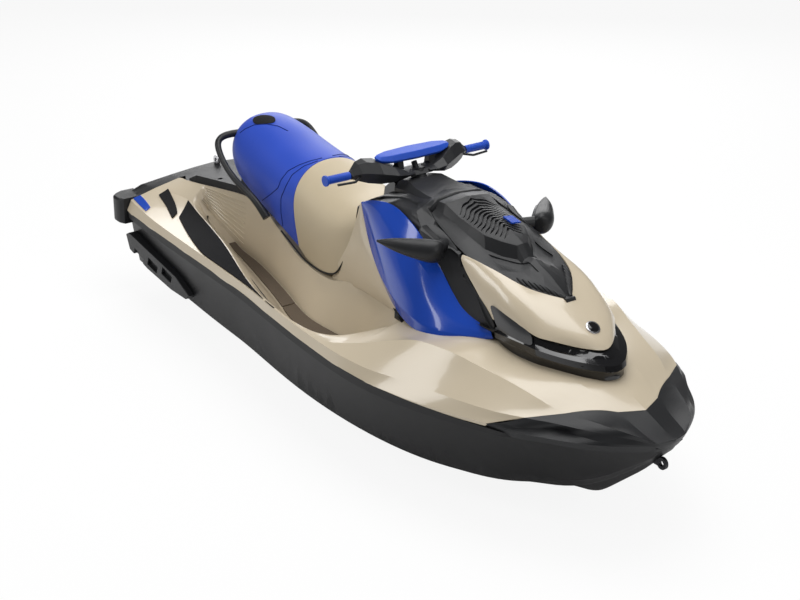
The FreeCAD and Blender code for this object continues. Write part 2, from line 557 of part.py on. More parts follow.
def make_cowl(deck_like):
    """console body, side panels, hood, nose, lid and tub, all divided from one form"""
    outer_lines = [COWL_FOOT, COWL_SIDE, COWL_WAIST, COWL_SHOULDER, COWL_TOP]
    cowl = body_loft([COWL_BASE] + outer_lines + [COWL_RIDGE, COWL_CENTRE], COWL_STATIONS, ruled=True)
    cowl = biggest(cowl.cut(deck_like))

    panel_zone = prism(PANEL_SIDE, Y, 150, 600)
    inner_lines = [Line(*[(p[0], max(p[1] - PANEL_THICK, p[1] * 0.75), p[2]) for p in line.points])
                   for line in outer_lines]
    core = body_loft([COWL_BASE] + inner_lines + [COWL_RIDGE, COWL_CENTRE], COWL_STATIONS, ruled=True)
    panel = cowl.common(panel_zone).cut(core)
    panels = [biggest(panel), biggest(mirrored(panel))]

    lid_zone = prism(full_plan(LID_PLAN), Z, 600, 1100)
    under = cowl.copy()
    under.translate(V(0, 0, -LID_THICK))
    axis = V(LID_HINGE_X, 0, LID_HINGE_Z)
    side = V(0, KNUCKLE_HALF, 0)
    ahead = box((LID_HINGE_X - 14, LID_HINGE_X + 60), (-200, 200), (600, 1000))
    arm = box((LID_HINGE_X - 20, LID_HINGE_X), (-KNUCKLE_HALF, KNUCKLE_HALF),
              (LID_HINGE_Z - KNUCKLE_R + 1, LID_HINGE_Z + KNUCKLE_R - 1))
    knuckle = rod(axis - side, axis + side, KNUCKLE_R)
    pin_end = V(0, KNUCKLE_HALF + 14, 0)
    hinge_pin = rod(axis - pin_end, axis + pin_end, HINGE_PIN_R)
    hinge_bore = rod(axis - pin_end, axis + pin_end, HINGE_PIN_R + PIN_FIT)
    lid = biggest(cowl.common(lid_zone).cut([under, ahead]).fuse([arm, knuckle]).cut(hinge_bore))
    grown = [(a + (LID_GAP if a >= LID_HINGE_X else (-LID_GAP if a <= LID_REAR else 0)),
              b + (LID_GAP if b > 0 else 0)) for a, b in LID_PLAN]
    seat = cowl.copy()
    seat.translate(V(0, 0, -LID_THICK - LID_GAP))
    hinge_well = rod(axis - pin_end, axis + pin_end, KNUCKLE_R + LID_GAP).fuse(
        box((LID_HINGE_X - 40, LID_HINGE_X), (-pin_end.y, pin_end.y),
            (LID_HINGE_Z - KNUCKLE_R - LID_GAP, LID_HINGE_Z + 60)))
    lid_pocket = cowl.common(prism(full_plan(grown), Z, 600, 1100)).cut(seat).fuse(hinge_well)
    ears = [rod(axis + V(0, turn * (KNUCKLE_HALF + 0.3), 0), axis + V(0, turn * (KNUCKLE_HALF + 15), 0),
                KNUCKLE_R - 1) for turn in (1, -1)]

    tub_floor = 690.0
    tub_outer = prism(full_plan(TUB_PLAN), Z, tub_floor, 1000)
    first, last = TUB_PLAN[0][0], TUB_PLAN[-1][0]
    wall_plan = [(a + (TUB_WALL if a == first else (-TUB_WALL if a == last else 0)), b - TUB_WALL)
                 for a, b in TUB_PLAN]
    tub_space = prism(full_plan(wall_plan), Z, tub_floor + TUB_WALL, 1000)
    tub = tub_outer.common(seat).cut(tub_space)

    hood_zone = prism(HOOD_SIDE, Y, -500, 500)
    tub_clear = prism(full_plan([(2080, 109), (2140, 132), (2400, 134), (2544, 96)]), Z, 600, 1100)
    hood = biggest(cowl.common(hood_zone).cut([lid_pocket, tub_clear] + panels).fuse(ears + [hinge_pin]))

    nose_zone = prism([(2552, 400), (2552, 640), (2576, 656), (2500, 1000), (LENGTH, 1000), (LENGTH, 400)],
                      Y, -500, 500)
    rest = cowl.cut([hood_zone, lid_pocket, tub_outer] + panels)
    nose = biggest(rest.common(nose_zone).cut(both(make_vent_slots())))
    body = biggest(rest.cut(nose_zone))
    return body, panels, lid, tub, hood, nose


def make_skirt(deck_like, cowl_parts, seats):
    """fixed panel between the front of the seat and the side panels"""
    sections = [(1440, 200, 430, 205, 520), (1520, 214, 450, 206, 640), (1600, 212, 480, 198, 830),
                (1700, 232, 500, 212, 860), (1900, 282, 510, 262, 760), (2080, 326, 520, 316, 640)]
    wires = []
    for x, half_foot, foot, half_top, top in sections:
        half = [V(x, half_foot, foot), V(x, half_top, top)]
        wires.append(polygon(half + [V(x, -half_top, top), V(x, -half_foot, foot)]))
    solid = loft(wires, ruled=True)
    zone = prism(SKIRT_SIDE, Y, -500, 500)
    return biggest(solid.common(zone).cut([deck_like] + cowl_parts + seats))


def steer_point(along, y=0.0, ahead=0.0):
    """a point given along the steering axis, sideways, and forward across the axis"""
    lean = math.radians(STEER_TILT)
    return V(STEER_X - along * math.sin(lean) + ahead * math.cos(lean), y,
             STEER_Z + along * math.cos(lean) + ahead * math.sin(lean))


def make_neck(cowl_body):
    """cover of the steering column, rising from the console to the boss that carries the bars"""
    sections = [(1722, 96, 900, 66, 968), (1800, 104, 915, 84, 984), (1862, 112, 930, 94, 976),
                (1940, 124, 940, 100, 972), (2024, 130, 945, 106, 976)]
    wires = []
    for x, half_foot, foot, half_top, top in sections:
        half = [V(x, half_foot, foot - 60), V(x, half_foot, (foot + top) / 2), V(x, half_top, top)]
        wires.append(polygon(half + [V(p.x, -p.y, p.z) for p in reversed(half)]))
    cover = loft(wires, ruled=True)
    boss = rod(steer_point(-50), steer_point(0), NECK_BOSS_R)
    pin = rod(steer_point(-20), steer_point(40), STEER_PIN_R)
    above = rod(steer_point(0), steer_point(200), 300)
    return biggest(cover.cut(above).fuse([boss, pin]).cut(cowl_body))


def make_handlebar():
    """clamp, tube and faceted switch housings that turn together"""
    clamp = rod(steer_point(0.3), steer_point(44), NECK_BOSS_R + 4)
    bore = rod(steer_point(-1), steer_point(40.5), STEER_PIN_R + PIN_FIT)
    housings = []
    for sign in (1, -1):
        wires = []
        for y, x0, x1, z0, z1 in ((20, 1690, 1778, 1012, 1036), (110, 1668, 1770, 1000, 1046),
                                  (190, 1656, 1748, 996, 1052), (250, 1656, 1728, 996, 1048),
                                  (290, 1664, 1706, 998, 1034)):
            mid = (z0 + z1) / 2
            wires.append(polygon([V(x0, sign * y, mid - 4), V(x0 + 14, sign * y, z1), V(x1 - 22, sign * y, z1 - 6),
                                  V(x1, sign * y, mid), V(x1 - 18, sign * y, z0), V(x0 + 12, sign * y, z0 + 4)]))
        housings.append(loft(wires, ruled=True))
    bar = [rod(V(GRIP_X, sign * 280, GRIP_Z), V(GRIP_X, sign * (GRIP_END_Y - 12), GRIP_Z), BAR_R)
           for sign in (1, -1)]
    bridge = box((1694, 1742), (-60, 60), (1016, 1034))
    body = clamp.fuse(housings + bar + [bridge])
    below = rod(steer_point(0.3), steer_point(-200), 320)
    return body.cut([bore, below])


def make_grips():
    grips = []
    for sign in (1, -1):
        start, end = sign * (GRIP_END_Y - GRIP_LENGTH), sign * GRIP_END_Y
        profile = [(0, 0), (0, GRIP_R), (GRIP_LENGTH - 14, GRIP_R - 1), (GRIP_LENGTH - 8, GRIP_R + 6),
                   (GRIP_LENGTH, GRIP_R + 6), (GRIP_LENGTH, 0)]
        turned = revolved(profile)
        turned.rotate(V(0, 0, 0), Z, sign * 90)
        turned.translate(V(GRIP_X, start, GRIP_Z))
        bore = rod(V(GRIP_X, start, GRIP_Z), V(GRIP_X, end - sign * 12, GRIP_Z), BAR_R)
        grips.append(turned.cut(bore))
    return grips


def make_pad(handlebar):
    """soft pad over the middle of the bars"""
    wires = []
    for y, x0, x1, z0, z1 in ((-185, 1690, 1716, 1052, 1078), (-120, 1668, 1742, 1048, 1090),
                              (0, 1660, 1756, 1040, 1096), (120, 1668, 1742, 1048, 1090),
                              (185, 1690, 1716, 1052, 1078)):
        wires.append(polygon([V(x0, y, z0 + 8), V(x0 + 10, y, z1), V(x1 - 16, y, z1 - 4), V(x1, y, z0 + 12),
                              V(x1 - 10, y, z0), V(x0 + 8, y, z0)]))
    pad = loft(wires, ruled=True)
    foot = box((1698, 1738), (-56, 56), (1034, 1050))
    return biggest(pad.fuse(foot).cut(handlebar))


def make_levers():
    """throttle and reverse levers, one ahead of each grip"""
    levers = []
    for sign in (1, -1):
        root = V(1716, sign * 262, 1010)
        knee = V(1738, sign * 300, 1004)
        tip = V(1728, sign * 378, 1004)
        levers.append(tube_path([root, knee, tip], 5.0, 18.0))
    return levers


def make_gauge(cowl_body):
    """instrument pod on the console, facing the rider"""
    pod = prism([(1632, 868), (1640, 912), (1700, 962), (1716, 950), (1716, 880)], Y, -88, 88)
    return biggest(pod.cut(cowl_body))


def make_mirror(sign, cowl_body, panels):
    """teardrop mirror on a short stalk out of the console shoulder"""
    wires = []
    for x, y, z, half_w, half_h in ((2246, 240, 866, 14, 26), (2240, 256, 864, 36, 42),
                                    (2205, 292, 866, 46, 44), (2150, 345, 874, 38, 33),
                                    (2100, 392, 883, 22, 18), (2066, 424, 889, 5, 4)):
        wires.append(oval(V(x, sign * y, z), half_w, half_h, sign * 50))
    shell = loft(wires)
    stalk = rod(V(2196, sign * 190, 868), V(2222, sign * 268, 868), MIRROR_STALK)
    return biggest(shell.fuse(stalk).cut([cowl_body] + panels))


def make_handles():
    """grab handle loops beside the rear seat"""
    port = tube_path([V(500, 120, 846), V(500, 225, 846), V(560, 262, 790), V(700, 262, 700),
                      V(860, 250, 650), V(930, 232, 575)], HANDLE_R, 34.0)
    return both(port)


def make_sponsons(hull):
    """stabilising fins on the hull sides, with their open pockets"""
    side = [(118, 300), (150, 318), (610, 250), (735, 196), (700, 168), (560, 166), (330, 190), (150, 232)]
    fin = prism(side, Y, 440, 540)
    for x in (190, 330, 470):
        pocket = prism([(x, 216), (x + 90, 200), (x + 104, 236), (x + 14, 254)], Y, 522, 560)
        fin = fin.cut(pocket)
    return both(biggest(fin.cut(hull)))


def make_pump():
    """pump housing with its stator vanes and outlet, open from end to end"""
    outer_r = PUMP_BORE_R + PUMP_WALL
    taper_x = OUTLET_X + 8
    shell = [(PUMP_FRONT, PUMP_BORE_R), (PUMP_FRONT, outer_r), (PUMP_REAR - 40, outer_r),
             (taper_x + 20, OUTLET_R + 4), (OUTLET_X, OUTLET_R), (OUTLET_X, OUTLET_R - 6),
             (PUMP_REAR - 40, PUMP_BORE_R)]
    housing = revolved(shell, V(0, 0, PUMP_Z))
    cone_rear, cone_front = PUMP_REAR - 90, PUMP_REAR + 40
    cone = revolved([(cone_rear, 0), (cone_rear, 8), (cone_front - 40, HUB_R), (cone_front, HUB_R),
                     (cone_front, 0)], V(0, 0, PUMP_Z))
    bearing = rod(V(cone_front - 36, 0, PUMP_Z), V(cone_front + 1, 0, PUMP_Z), SHAFT_R + PIN_FIT)
    vanes = []
    for k in range(6):
        vane = box((PUMP_REAR - 20, cone_front - 5), (-2, 2), (HUB_R - 4, PUMP_BORE_R + 4))
        vane.rotate(V(0, 0, 0), X, 60 * k)
        vane.translate(V(0, 0, PUMP_Z))
        vanes.append(vane)
    ears = [rod(V(BUCKET_X, sign * (OUTLET_R + 2), PUMP_Z), V(BUCKET_X, sign * (BUCKET_HALF + 14), PUMP_Z), 8)
            for sign in (1, -1)]
    lugs = [box((OUTLET_X - 12, OUTLET_X + 40), (-14, 14),
                sorted((PUMP_Z + sign * (OUTLET_R - 2), PUMP_Z + sign * (OUTLET_R + 8)))) for sign in (1, -1)]
    pins = [rod(V(OUTLET_X, 0, PUMP_Z + sign * (OUTLET_R + 4)),
                V(OUTLET_X, 0, PUMP_Z + sign * (NOZZLE_IN_R + NOZZLE_WALL + 4)), NOZZLE_PIN_R)
            for sign in (1, -1)]
    flange = rod(V(PUMP_FRONT - 12, 0, PUMP_Z), V(PUMP_FRONT, 0, PUMP_Z), outer_r + 12)
    bore = rod(V(PUMP_FRONT + 10, 0, PUMP_Z), V(PUMP_REAR - 30, 0, PUMP_Z), PUMP_BORE_R)
    return housing.fuse(flange).cut(bore).fuse([cone] + vanes + ears + lugs + pins).cut(bearing)


def make_impeller():
    """bladed hub with its drive shaft, which runs forward to the engine"""
    rear, front = PUMP_REAR + 46, PUMP_FRONT - 20
    hub = revolved([(rear, 0), (rear, HUB_R), (front - 40, HUB_R), (front, SHAFT_R), (front, 0)],
                   V(0, 0, PUMP_Z))
    shaft = rod(V(front - 10, 0, PUMP_Z), V(ENGINE_X - 0.5, 0, PUMP_Z), SHAFT_R)
    tail = rod(V(rear + 5, 0, PUMP_Z), V(PUMP_REAR + 10, 0, PUMP_Z), SHAFT_R)
    blades = []
    steps = 6
    twist = 110.0
    for k in range(IMPELLER_BLADES):
        wires = []
        for step in range(steps + 1):
            x = rear + 8 + (front - rear - 30) * step / steps
            wire = polygon([V(x, -2.5, HUB_R - 5), V(x, 2.5, HUB_R - 5), V(x, 1.5, IMPELLER_R),
                            V(x, -1.5, IMPELLER_R)])
            wire.rotate(V(0, 0, 0), X, twist * step / steps + 360.0 * k / IMPELLER_BLADES)
            wire.translate(V(0, 0, PUMP_Z))
            wires.append(wire)
        blades.append(loft(wires))
    return hub.fuse([shaft, tail] + blades)


def make_nozzle():
    """steering nozzle that swings on two upright pins behind the outlet"""
    inlet, outlet = OUTLET_X - 8, NOZZLE_REAR
    body = revolved([(inlet, NOZZLE_IN_R), (inlet, NOZZLE_IN_R + NOZZLE_WALL), (inlet - 30, NOZZLE_IN_R + NOZZLE_WALL),
                     (outlet, NOZZLE_OUT_R), (outlet, NOZZLE_OUT_R - NOZZLE_WALL), (inlet - 30, NOZZLE_IN_R - 2)],
                    V(0, 0, PUMP_Z))
    ears = []
    bores = []
    for sign in (1, -1):
        low, high = sorted((PUMP_Z + sign * (NOZZLE_IN_R + 0.5), PUMP_Z + sign * (NOZZLE_IN_R + NOZZLE_WALL)))
        arm = box((inlet - 16, OUTLET_X), (-16, 16), (low, high))
        eye = rod(V(OUTLET_X, 0, low), V(OUTLET_X, 0, high), 16)
        ears.append(arm.fuse(eye))
        bores.append(rod(V(OUTLET_X, 0, low - 1), V(OUTLET_X, 0, high + 1), NOZZLE_PIN_R + PIN_FIT))
    return body.fuse(ears).cut(bores)


def make_bucket():
    """reverse bucket, a curved scoop on two arms, raised clear of the jet"""
    start, end = math.radians(BUCKET_LOW), math.radians(BUCKET_LOW + BUCKET_SPAN)
    centre = V(BUCKET_X, 0, PUMP_Z)

    def rim(radius, angle, y):
        return centre + V(-radius * math.cos(angle), y, radius * math.sin(angle))

    def shell(inside, outside, low_y, high_y):
        mid = (start + end) / 2
        outer = Part.Arc(rim(outside, start, low_y), rim(outside, mid, low_y), rim(outside, end, low_y))
        inner = Part.Arc(rim(inside, start, low_y), rim(inside, mid, low_y), rim(inside, end, low_y))
        ends = [Part.LineSegment(rim(inside, angle, low_y), rim(outside, angle, low_y)).toShape()
                for angle in (start, end)]
        outline = Part.Wire(Part.__sortEdges__([outer.toShape(), inner.toShape()] + ends))
        return Part.Face(outline).extrude(V(0, high_y - low_y, 0))

    scoop = shell(BUCKET_R, BUCKET_R + BUCKET_WALL, -BUCKET_HALF, BUCKET_HALF)
    arms = []
    bores = []
    for sign in (1, -1):
        low_y, high_y = sorted((sign * (BUCKET_HALF - 6), sign * BUCKET_HALF))
        root = 22.0
        lead, trail = start + 0.25, end - 0.25
        points = [rim(root, lead - 0.6, low_y), rim(BUCKET_R + 2, lead, low_y), rim(BUCKET_R + 2, trail, low_y),
                  rim(root, trail + 0.6, low_y)]
        plate = Part.Face(polygon(points)).extrude(V(0, high_y - low_y, 0))
        eye = rod(V(BUCKET_X, low_y, PUMP_Z), V(BUCKET_X, high_y, PUMP_Z), root)
        arms.append(plate.fuse(eye))
        bores.append(rod(V(BUCKET_X, low_y - 1, PUMP_Z), V(BUCKET_X, high_y + 1, PUMP_Z), 8 + PIN_FIT))
    return scoop.fuse(arms).cut(bores)


def make_ride_plate():
    half = TUNNEL_HALF - 1
    plate = box((PLATE_REAR, PUMP_FRONT + 29), (-half, half), (PLATE_TOP - 10, PLATE_TOP))
    ribs = [box((PLATE_REAR + 28, PUMP_FRONT - 10), (y - 3, y + 3), (PLATE_TOP, PLATE_TOP + 12))
            for y in (-90, 0, 90)]
    return plate.fuse(ribs)


def make_grate(hull):
    """bars across the mouth of the intake, ending on its walls"""
    start, end = PUMP_FRONT + 60, PUMP_FRONT + 560
    bars = [box((start, end), (y - 4, y + 4), (6, 16)) for y in (-50, -25, 0, 25, 50)]
    cross = [box((x, x + 10), (-100, 100), (6, 16)) for x in (PUMP_FRONT + 200, PUMP_FRONT + 360)]
    return biggest(bars[0].fuse(bars[1:] + cross).cut(hull))


def eye_plate(x, y, z, along):
    """lifting eye: a rounded plate across the boat with one bore along it"""
    plate = rod(V(x, y - EYE_THICK / 2, z), V(x, y + EYE_THICK / 2, z), EYE_R)
    shank = box((min(x, along), max(x, along)), (y - EYE_THICK / 2, y + EYE_THICK / 2), (z - 16, z + 16))
    bore = rod(V(x, y - EYE_THICK, z), V(x, y + EYE_THICK, z), EYE_BORE_R)
    return plate.fuse(shank).cut(bore)


def make_eyes(hull, rear):
    """tie-down eye at the stem, two at the transom and the tow eye on the stern deck"""
    stem = eye_plate(bow(60), 0, 330, bow(130)).cut(hull)
    stern = [eye_plate(TRANSOM_X - 26, side * 330, 330, TRANSOM_X + 5).cut(hull) for side in (1, -1)]
    tow = eye_plate(STERN_X + 45, 0, 562, STERN_X + 30)
    foot = box((STERN_X + 27, STERN_X + 63), (-EYE_THICK / 2, EYE_THICK / 2), (520, 548))
    return stem, Part.makeCompound(stern), tow.fuse(foot).cut(rear)


def make_all():
    deck, hull, bumper, rear, caps, rail = make_upper()
    solid_deck = upper_loft()
    engine = box((ENGINE_X, ENGINE_X + ENGINE_LENGTH), (-ENGINE_WIDTH / 2, ENGINE_WIDTH / 2),
                 (ENGINE_Z, ENGINE_Z + ENGINE_HEIGHT))
    seats = make_seats(solid_deck)
    body, panels, lid, tub, hood, nose = make_cowl(solid_deck)
    stem_eye, stern_eyes, tow_eye = make_eyes(hull, rear)
    neck = make_neck(body)
    handlebar = make_handlebar()
    nodes = {
        "hull": hull, "deck": deck, "bow_bumper": bumper, "rear_deck": rear, "stern_corners": caps,
        "rub_rail": without_crumbs(rail), "engine_block": engine,
        "gunwale_mats": make_mats(deck), "footwell_mats": without_crumbs(make_floor_mats().cut(hull)),
        "rear_seat": seats[0], "driver_seat": seats[1],
        "console_body": body, "side_panel_left": panels[0], "side_panel_right": panels[1],
        "storage_lid": lid, "storage_tub": tub, "hood": hood, "nose_grille": nose,
        "console_skirt": make_skirt(solid_deck, [body, panels[0], panels[1]], list(seats)),
        "steering_neck": neck, "handlebar": handlebar, "handlebar_pad": make_pad(handlebar),
        "gauge_pod": make_gauge(body),
        "grab_handles": without_crumbs(make_handles().cut([seats[0], solid_deck])),
        "sponsons": make_sponsons(hull_solid()),
        "jet_pump": make_pump(), "impeller": make_impeller(), "steering_nozzle": make_nozzle(),
        "reverse_bucket": make_bucket(), "ride_plate": make_ride_plate(), "intake_grate": make_grate(hull),
        "bow_eye": stem_eye, "stern_eyes": stern_eyes, "tow_eye": tow_eye,
    }
    for side, grip, lever in zip(("left", "right"), make_grips(), make_levers()):
        nodes["grip_" + side] = grip
        nodes["lever_" + side] = lever.cut(handlebar)
    for side, sign in (("left", 1), ("right", -1)):
        nodes["mirror_" + side] = make_mirror(sign, body, panels)
    return nodes


def export(nodes):
    os.makedirs("parts", exist_ok=True)
    shift = V(-LENGTH / 2, 0, -DRAFT)
    for name, shape in nodes.items():
        moved = shape.copy()
        moved.translate(shift)
        solids = moved.Solids
        whole = solids[0] if len(solids) == 1 else Part.makeCompound(solids)
        whole.exportStep("parts/" + name + ".step")
        print(name, len(solids), round(sum(solid.Volume for solid in solids) / 1e6, 3), whole.isValid())


export(make_all())
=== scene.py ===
import json
import math
import bpy
from mathutils import Matrix, Vector
from mathutils.bvhtree import BVHTree


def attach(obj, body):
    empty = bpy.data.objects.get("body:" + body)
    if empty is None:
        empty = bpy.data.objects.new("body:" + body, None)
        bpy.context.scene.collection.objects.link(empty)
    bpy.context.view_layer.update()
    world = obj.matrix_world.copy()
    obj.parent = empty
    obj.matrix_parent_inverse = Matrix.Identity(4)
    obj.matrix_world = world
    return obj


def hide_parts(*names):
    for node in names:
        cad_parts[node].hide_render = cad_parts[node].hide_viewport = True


# Looks of a three-seat sit-down personal watercraft. Places are in millimetres from the stern,
# the centre plane and the keel, and spot() turns them into metres about the waterline.

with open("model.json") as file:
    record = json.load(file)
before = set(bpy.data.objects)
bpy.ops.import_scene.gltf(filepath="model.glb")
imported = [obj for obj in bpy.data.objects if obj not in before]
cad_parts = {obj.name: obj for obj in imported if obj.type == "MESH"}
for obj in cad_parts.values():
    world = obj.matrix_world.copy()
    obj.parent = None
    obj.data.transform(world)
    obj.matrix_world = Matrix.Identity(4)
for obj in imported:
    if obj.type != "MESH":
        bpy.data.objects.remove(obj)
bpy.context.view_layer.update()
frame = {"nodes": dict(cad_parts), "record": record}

craft = {"length": 3310, "draft": 300, "halfBeam": 628}


def spot(x, y, z):
    return Vector(((x - craft["length"] / 2) / 1000, y / 1000, (z - craft["draft"]) / 1000))


def toMm(place):
    return (place.x * 1000 + craft["length"] / 2, place.y * 1000, place.z * 1000 + craft["draft"])


def mix(a, b, share):
    return tuple(p + (q - p) * share for p, q in zip(a, b))


def bow(back):  # x of a place given as its distance back from the bow tip
    return craft["length"] - back


def edge(inset):  # y of a place given as its distance in from the widest line
    return craft["halfBeam"] - inset


# Selection, modifiers and joining, as by hand

def clearSelection():
    if bpy.context.object and bpy.context.object.mode != "OBJECT":
        bpy.ops.object.mode_set(mode="OBJECT")
    bpy.ops.object.select_all(action="DESELECT")


def pick(piece):
    clearSelection()
    piece.select_set(True)
    bpy.context.view_layer.objects.active = piece


def modify(piece, kind, **settings):
    pick(piece)
    modifier = piece.modifiers.new(kind.title(), kind)
    for name, value in settings.items():
        setattr(modifier, name, value)
    bpy.ops.object.modifier_apply(modifier=modifier.name)
    return piece


def bothSides(piece, weld=0.0003):  # the other half, across the centre plane
    return modify(piece, "MIRROR", use_axis=(False, True, False), use_clip=True, merge_threshold=weld)


def subdivided(piece, levels):
    return modify(piece, "SUBSURF", levels=levels, render_levels=levels)


def thickened(piece, wall, side, **creases):  # side is 1 to grow outwards and -1 to grow inwards
    return modify(piece, "SOLIDIFY", thickness=wall / 1000, offset=side, **creases)


def draped(piece, target, lift):  # laid on a surface, straight down or up
    return modify(piece, "SHRINKWRAP", target=target, wrap_method="PROJECT", use_project_z=True,
                  use_negative_direction=True, use_positive_direction=True, offset=lift,
                  wrap_mode="ABOVE_SURFACE")


def joined(name, pieces):
    clearSelection()
    for piece in pieces:
        piece.select_set(True)
    bpy.context.view_layer.objects.active = pieces[0]
    if len(pieces) > 1:
        bpy.ops.object.join()
    pieces[0].name = name
    return pieces[0]


def settle(piece):
    pick(piece)
    bpy.ops.object.transform_apply(location=True, rotation=True, scale=True)
    return piece


def smoothed(piece, degrees=35):
    pick(piece)
    bpy.ops.object.shade_smooth_by_angle(angle=math.radians(degrees))
    return piece


def editAll(piece):  # edit mode with everything selected
    pick(piece)
    bpy.ops.object.mode_set(mode="EDIT")
    bpy.ops.mesh.select_all(action="SELECT")


def editOpenings(piece):  # edit mode with only the edges of openings selected
    pick(piece)
    bpy.ops.object.mode_set(mode="EDIT")
    bpy.context.tool_settings.mesh_select_mode = (False, True, False)
    bpy.ops.mesh.select_all(action="DESELECT")
    bpy.ops.mesh.select_non_manifold()


def endEdit():
    bpy.ops.object.mode_set(mode="OBJECT")


def outwards(piece):
    editAll(piece)
    bpy.ops.mesh.remove_doubles(threshold=0.0001)
    bpy.ops.mesh.normals_make_consistent(inside=False)
    endEdit()
    return piece


def frameCopy(name, node, flat=True):  # a merged copy of a node of the frame
    source = frame["nodes"][node]
    piece = source.copy()
    piece.data = source.data.copy()
    for key in list(piece.keys()):
        del piece[key]
    piece.parent = None
    piece.matrix_world = Matrix.Identity(4)
    bpy.context.scene.collection.objects.link(piece)
    piece.name = name
    editAll(piece)
    bpy.ops.mesh.remove_doubles(threshold=0.00002)
    if flat:
        bpy.ops.mesh.dissolve_limited(angle_limit=math.radians(0.5))
    endEdit()
    return piece


# Cages: a grid is laid over rows of chosen places, then mirrored, thickened and subdivided.
# The panels are freely curved, so their corners are set one by one.

def cage(name, rows, sharpRows=(), sharpColumns=(), up=(0, 0.3, 1), weight=1.0):
    clearSelection()
    wide, tall = len(rows[0]), len(rows)
    bpy.ops.mesh.primitive_grid_add(x_subdivisions=wide - 1, y_subdivisions=tall - 1)
    piece = bpy.context.object
    piece.name = name
    mesh = piece.data
    for vertex, place in zip(mesh.vertices, [place for row in rows for place in row]):
        vertex.co = spot(*place)
    crease = mesh.attributes.new("crease_edge", "FLOAT", "EDGE")
    for line in mesh.edges:
        first, second = sorted(line.vertices)
        sameRow = first // wide == second // wide
        if sameRow and first // wide in sharpRows:
            crease.data[line.index].value = weight
        if not sameRow and first % wide in sharpColumns:
            crease.data[line.index].value = weight
    total = Vector()
    for face in mesh.polygons:
        total += face.normal * face.area
    if total.dot(Vector(up)) < 0:
        mesh.flip_normals()
    return piece


def shell(piece, wall, levels=2, mirrored=True, facet=14):  # a cage made a smooth wall
    rim = 0.9
    if mirrored:
        bothSides(piece)
    thickened(piece, wall, -1, edge_crease_outer=rim, edge_crease_inner=rim, edge_crease_rim=0.0)
    subdivided(piece, levels)
    editAll(piece)
    bpy.ops.mesh.remove_doubles(threshold=0.00005)
    endEdit()
    return smoothed(piece, facet)


def twin(piece, name):  # the same piece on the other side of the boat
    other = piece.copy()
    other.data = piece.data.copy()
    other.name = name
    bpy.context.scene.collection.objects.link(other)
    for vertex in other.data.vertices:
        vertex.co.y = -vertex.co.y
    other.data.flip_normals()
    return other


# Design lines: each runs smoothly through a few places and never overshoots them

def between(points, x):
    if x <= points[0][0]:
        return points[0][1]
    if x >= points[-1][0]:
        return points[-1][1]
    slopes = [(b[1] - a[1]) / (b[0] - a[0]) for a, b in zip(points, points[1:])]
    tangents = [slopes[0]]
    for left, right in zip(slopes, slopes[1:]):
        tangents.append(2 * left * right / (left + right) if left * right > 0 else 0.0)
    tangents.append(slopes[-1])
    i = max(k for k in range(len(points) - 1) if points[k][0] <= x)
    step = points[i + 1][0] - points[i][0]
    t = (x - points[i][0]) / step
    return (points[i][1] * (1 + 2 * t) * (1 - t) ** 2 + tangents[i] * step * t * (1 - t) ** 2
            + points[i + 1][1] * t * t * (3 - 2 * t) - tangents[i + 1] * step * t * t * (1 - t))


class DesignLine:
    def __init__(self, *points):
        self.points = points

    def at(self, x):
        return (x, between([(p[0], p[1]) for p in self.points], x),
                between([(p[0], p[2]) for p in self.points], x))


